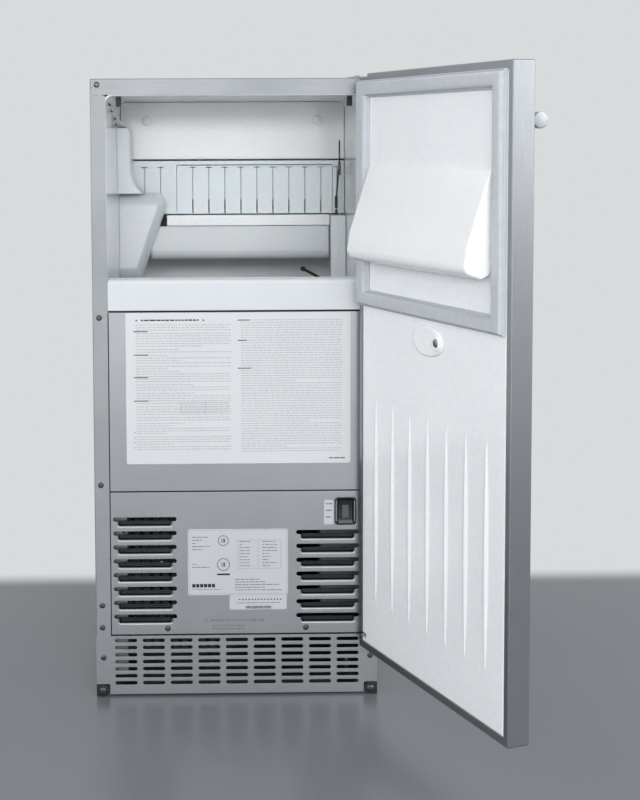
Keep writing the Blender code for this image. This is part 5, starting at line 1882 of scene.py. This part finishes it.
@dataclass
class Studio:
    """Plain pale floor, soft lights and the camera.

    Attributes:
        layout: Where the cabinet stands.
        place: The camera, in cabinet axes.
        turn: Degrees to the right of straight ahead.
        tilt: Degrees above level.
        roll: Degrees of roll.
        lens: Focal length in millimetres, for a 36 mm frame.
        shift: The lens's shift, in shares of the frame's longer side.
        pale: sRGB tone of the air and of the sweep behind the machine.
        glow: Strength of that tone.
        floor_light: sRGB colour of the floor's lighter parts.
        floor_dark: sRGB colour of the floor's darker parts.
        gloss: The floor's roughness.
        sweep: Where the floor starts and ends to run into the sweep behind, in metres.
        edge: Distance at which it does so all round.
    """

    layout: Layout
    place: tuple[float, float, float] = (-0.0189, -1.9809, 0.7371)
    turn: float = 1.035
    tilt: float = -4.300
    roll: float = -0.242
    lens: float = 68.3
    shift: Point = (0.09, -0.18)
    pale: str = "#dedfe1"
    glow: float = 0.95
    floor_light: str = "#6e7277"
    floor_dark: str = "#64686d"
    gloss: float = 0.30
    sweep: Point = (0.390, 0.480)
    edge: Point = (2.3, 3.0)

    def build(self) -> None:
        """Set up the whole studio."""
        self.camera()
        self.floor()
        self.air()
        self.light("fill", (0.30, -3.4, 1.17), (0.0, 0.3, 0.74), (2.4, 0.3), 54.0, False)
        self.light("sheen", (0.0, -3.6, 1.15), (0.0, 0.0, 0.60), (3.4, 1.6), 34.0)
        self.light("right", (2.4, -1.2, 1.5), (0.1, -0.1, 0.50), (1.4, 1.8), 27.0)
        self.light("left", (-2.4, -0.4, 1.4), (0.0, 0.0, 0.50), (1.4, 1.8), 14.0)

    def camera(self) -> None:
        """Place the camera and make it the scene's own."""
        data = bpy.data.cameras.new("camera")
        data.lens, data.sensor_width = self.lens, 36.0
        data.shift_x, data.shift_y = self.shift
        data.clip_end = 100.0
        made = bpy.data.objects.new("camera", data)
        bpy.context.scene.collection.objects.link(made)
        aim = Matrix.Rotation(math.radians(-self.turn), 4, "Z")
        aim @= Matrix.Rotation(math.radians(90 + self.tilt), 4, "X")
        aim @= Matrix.Rotation(math.radians(self.roll), 4, "Z")
        made.matrix_world = self.layout.cabinet() @ Matrix.Translation(self.place) @ aim
        bpy.context.scene.camera = made

    def floor(self) -> None:
        """Lay the floor: satin grey round the machine, running out to a pale tone."""
        bm = plate(rounded((-14.0, -14.0), (14.0, 14.0), 0.5, 2), -0.02, 0.0, Plane.XY, edge=0.0)
        mesh = bpy.data.meshes.new("floor")
        bm.to_mesh(mesh)
        bm.free()
        made = bpy.data.objects.new("floor", mesh)
        bpy.context.scene.collection.objects.link(made)
        material = bpy.data.materials.new("satin_floor_paint")
        material.use_nodes = True
        tree = material.node_tree
        shader = tree.nodes["Principled BSDF"]
        shader.inputs["Roughness"].default_value = self.gloss
        place = add_node(tree, "ShaderNodeTexCoord").outputs["Object"]
        cloud = add_node(tree, "ShaderNodeTexNoise", {"Vector": place, "Scale": 1.4, "Detail": 2.0})
        tone = add_node(tree, "ShaderNodeMix", {"Factor": cloud.outputs["Fac"]}, data_type="RGBA")
        tone.inputs[6].default_value = linear(self.floor_dark)
        tone.inputs[7].default_value = linear(self.floor_light)
        tree.links.new(tone.outputs[2], shader.inputs["Base Color"])
        # the floor runs into a pale sweep behind the machine and further off all round
        depth = add_node(tree, "ShaderNodeSeparateXYZ", {"Vector": place})
        behind = add_node(tree, "ShaderNodeMapRange", {
            "Value": depth.outputs["Y"], "From Min": self.sweep[0], "From Max": self.sweep[1],
        }, interpolation_type="SMOOTHSTEP")
        reach = add_node(tree, "ShaderNodeVectorMath", {0: place}, operation="LENGTH")
        around = add_node(tree, "ShaderNodeMapRange", {
            "Value": reach.outputs["Value"], "From Min": self.edge[0], "From Max": self.edge[1],
        }, interpolation_type="SMOOTHSTEP")
        share = add_node(tree, "ShaderNodeMath", {
            0: behind.outputs[0], 1: around.outputs[0],
        }, operation="MAXIMUM")
        sweep = add_node(tree, "ShaderNodeEmission", {"Color": linear(self.pale), "Strength": self.glow})
        joint = add_node(tree, "ShaderNodeMixShader", {
            0: share.outputs[0], 1: shader.outputs[0], 2: sweep.outputs[0],
        })
        tree.links.new(joint.outputs[0], tree.nodes["Material Output"].inputs["Surface"])
        mesh.materials.append(material)
        made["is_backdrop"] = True

    def air(self) -> None:
        """Fill the room with an even pale light."""
        scene = bpy.context.scene
        world = bpy.data.worlds.new("studio_air")
        world.use_nodes = True
        ground = world.node_tree.nodes["Background"]
        ground.inputs["Color"].default_value = linear(self.pale)
        ground.inputs["Strength"].default_value = self.glow
        scene.world = world
        scene.view_settings.view_transform = "Standard"

    def light(
        self, name: str, place: Sequence[float], target: Sequence[float], size: Point, power: float,
        mirrored: bool = True,
    ) -> None:
        """Hang one soft box.

        Args:
            name: The light's name.
            place: Where it hangs, in cabinet axes.
            target: What it faces, in cabinet axes.
            size: Its width and height.
            power: Its power, in watts.
            mirrored: Whether glossy surfaces show it.
        """
        data = bpy.data.lights.new(name, "AREA")
        data.shape, data.size, data.size_y = "RECTANGLE", *size
        data.energy = power
        made = bpy.data.objects.new(name, data)
        made.visible_camera = False
        made.visible_glossy = mirrored
        bpy.context.scene.collection.objects.link(made)
        aim = (Vector(target) - Vector(place)).to_track_quat("-Z", "Y").to_matrix().to_4x4()
        made.matrix_world = self.layout.cabinet() @ Matrix.Translation(place) @ aim


# ---------------------------------------------------------------- assembly


def corners() -> list[list[float]]:
    """Give the lowest and highest corner of all that shows."""
    return [[float(v) for v in corner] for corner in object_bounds()]


def main() -> None:
    """Build the finished ice maker around its fixed solids."""
    logging.basicConfig(level=logging.INFO, format="%(name)s: %(message)s")
    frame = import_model()
    layout = Layout.read(frame)
    cabinet, door = layout.cabinet(), layout.door()
    case = Home(cabinet, "cabinet")
    feet = {name: Home(Matrix(), name) for name in frame["nodes"] if name.startswith("levelling_foot")}
    Studio(layout).build()
    dress_kept(frame["nodes"])
    Case(case).build()
    Front(case).build()
    Switch(case, Home(cabinet, "rocker")).build()
    Bin(case).build()
    Chamber(case, Home(cabinet, "curtain")).build()
    Machine(case, feet).build()
    Door(Home(door, "door")).build()
    Hinges(case, Home(door, "door")).build()


if __name__ == "__main__":
    main()
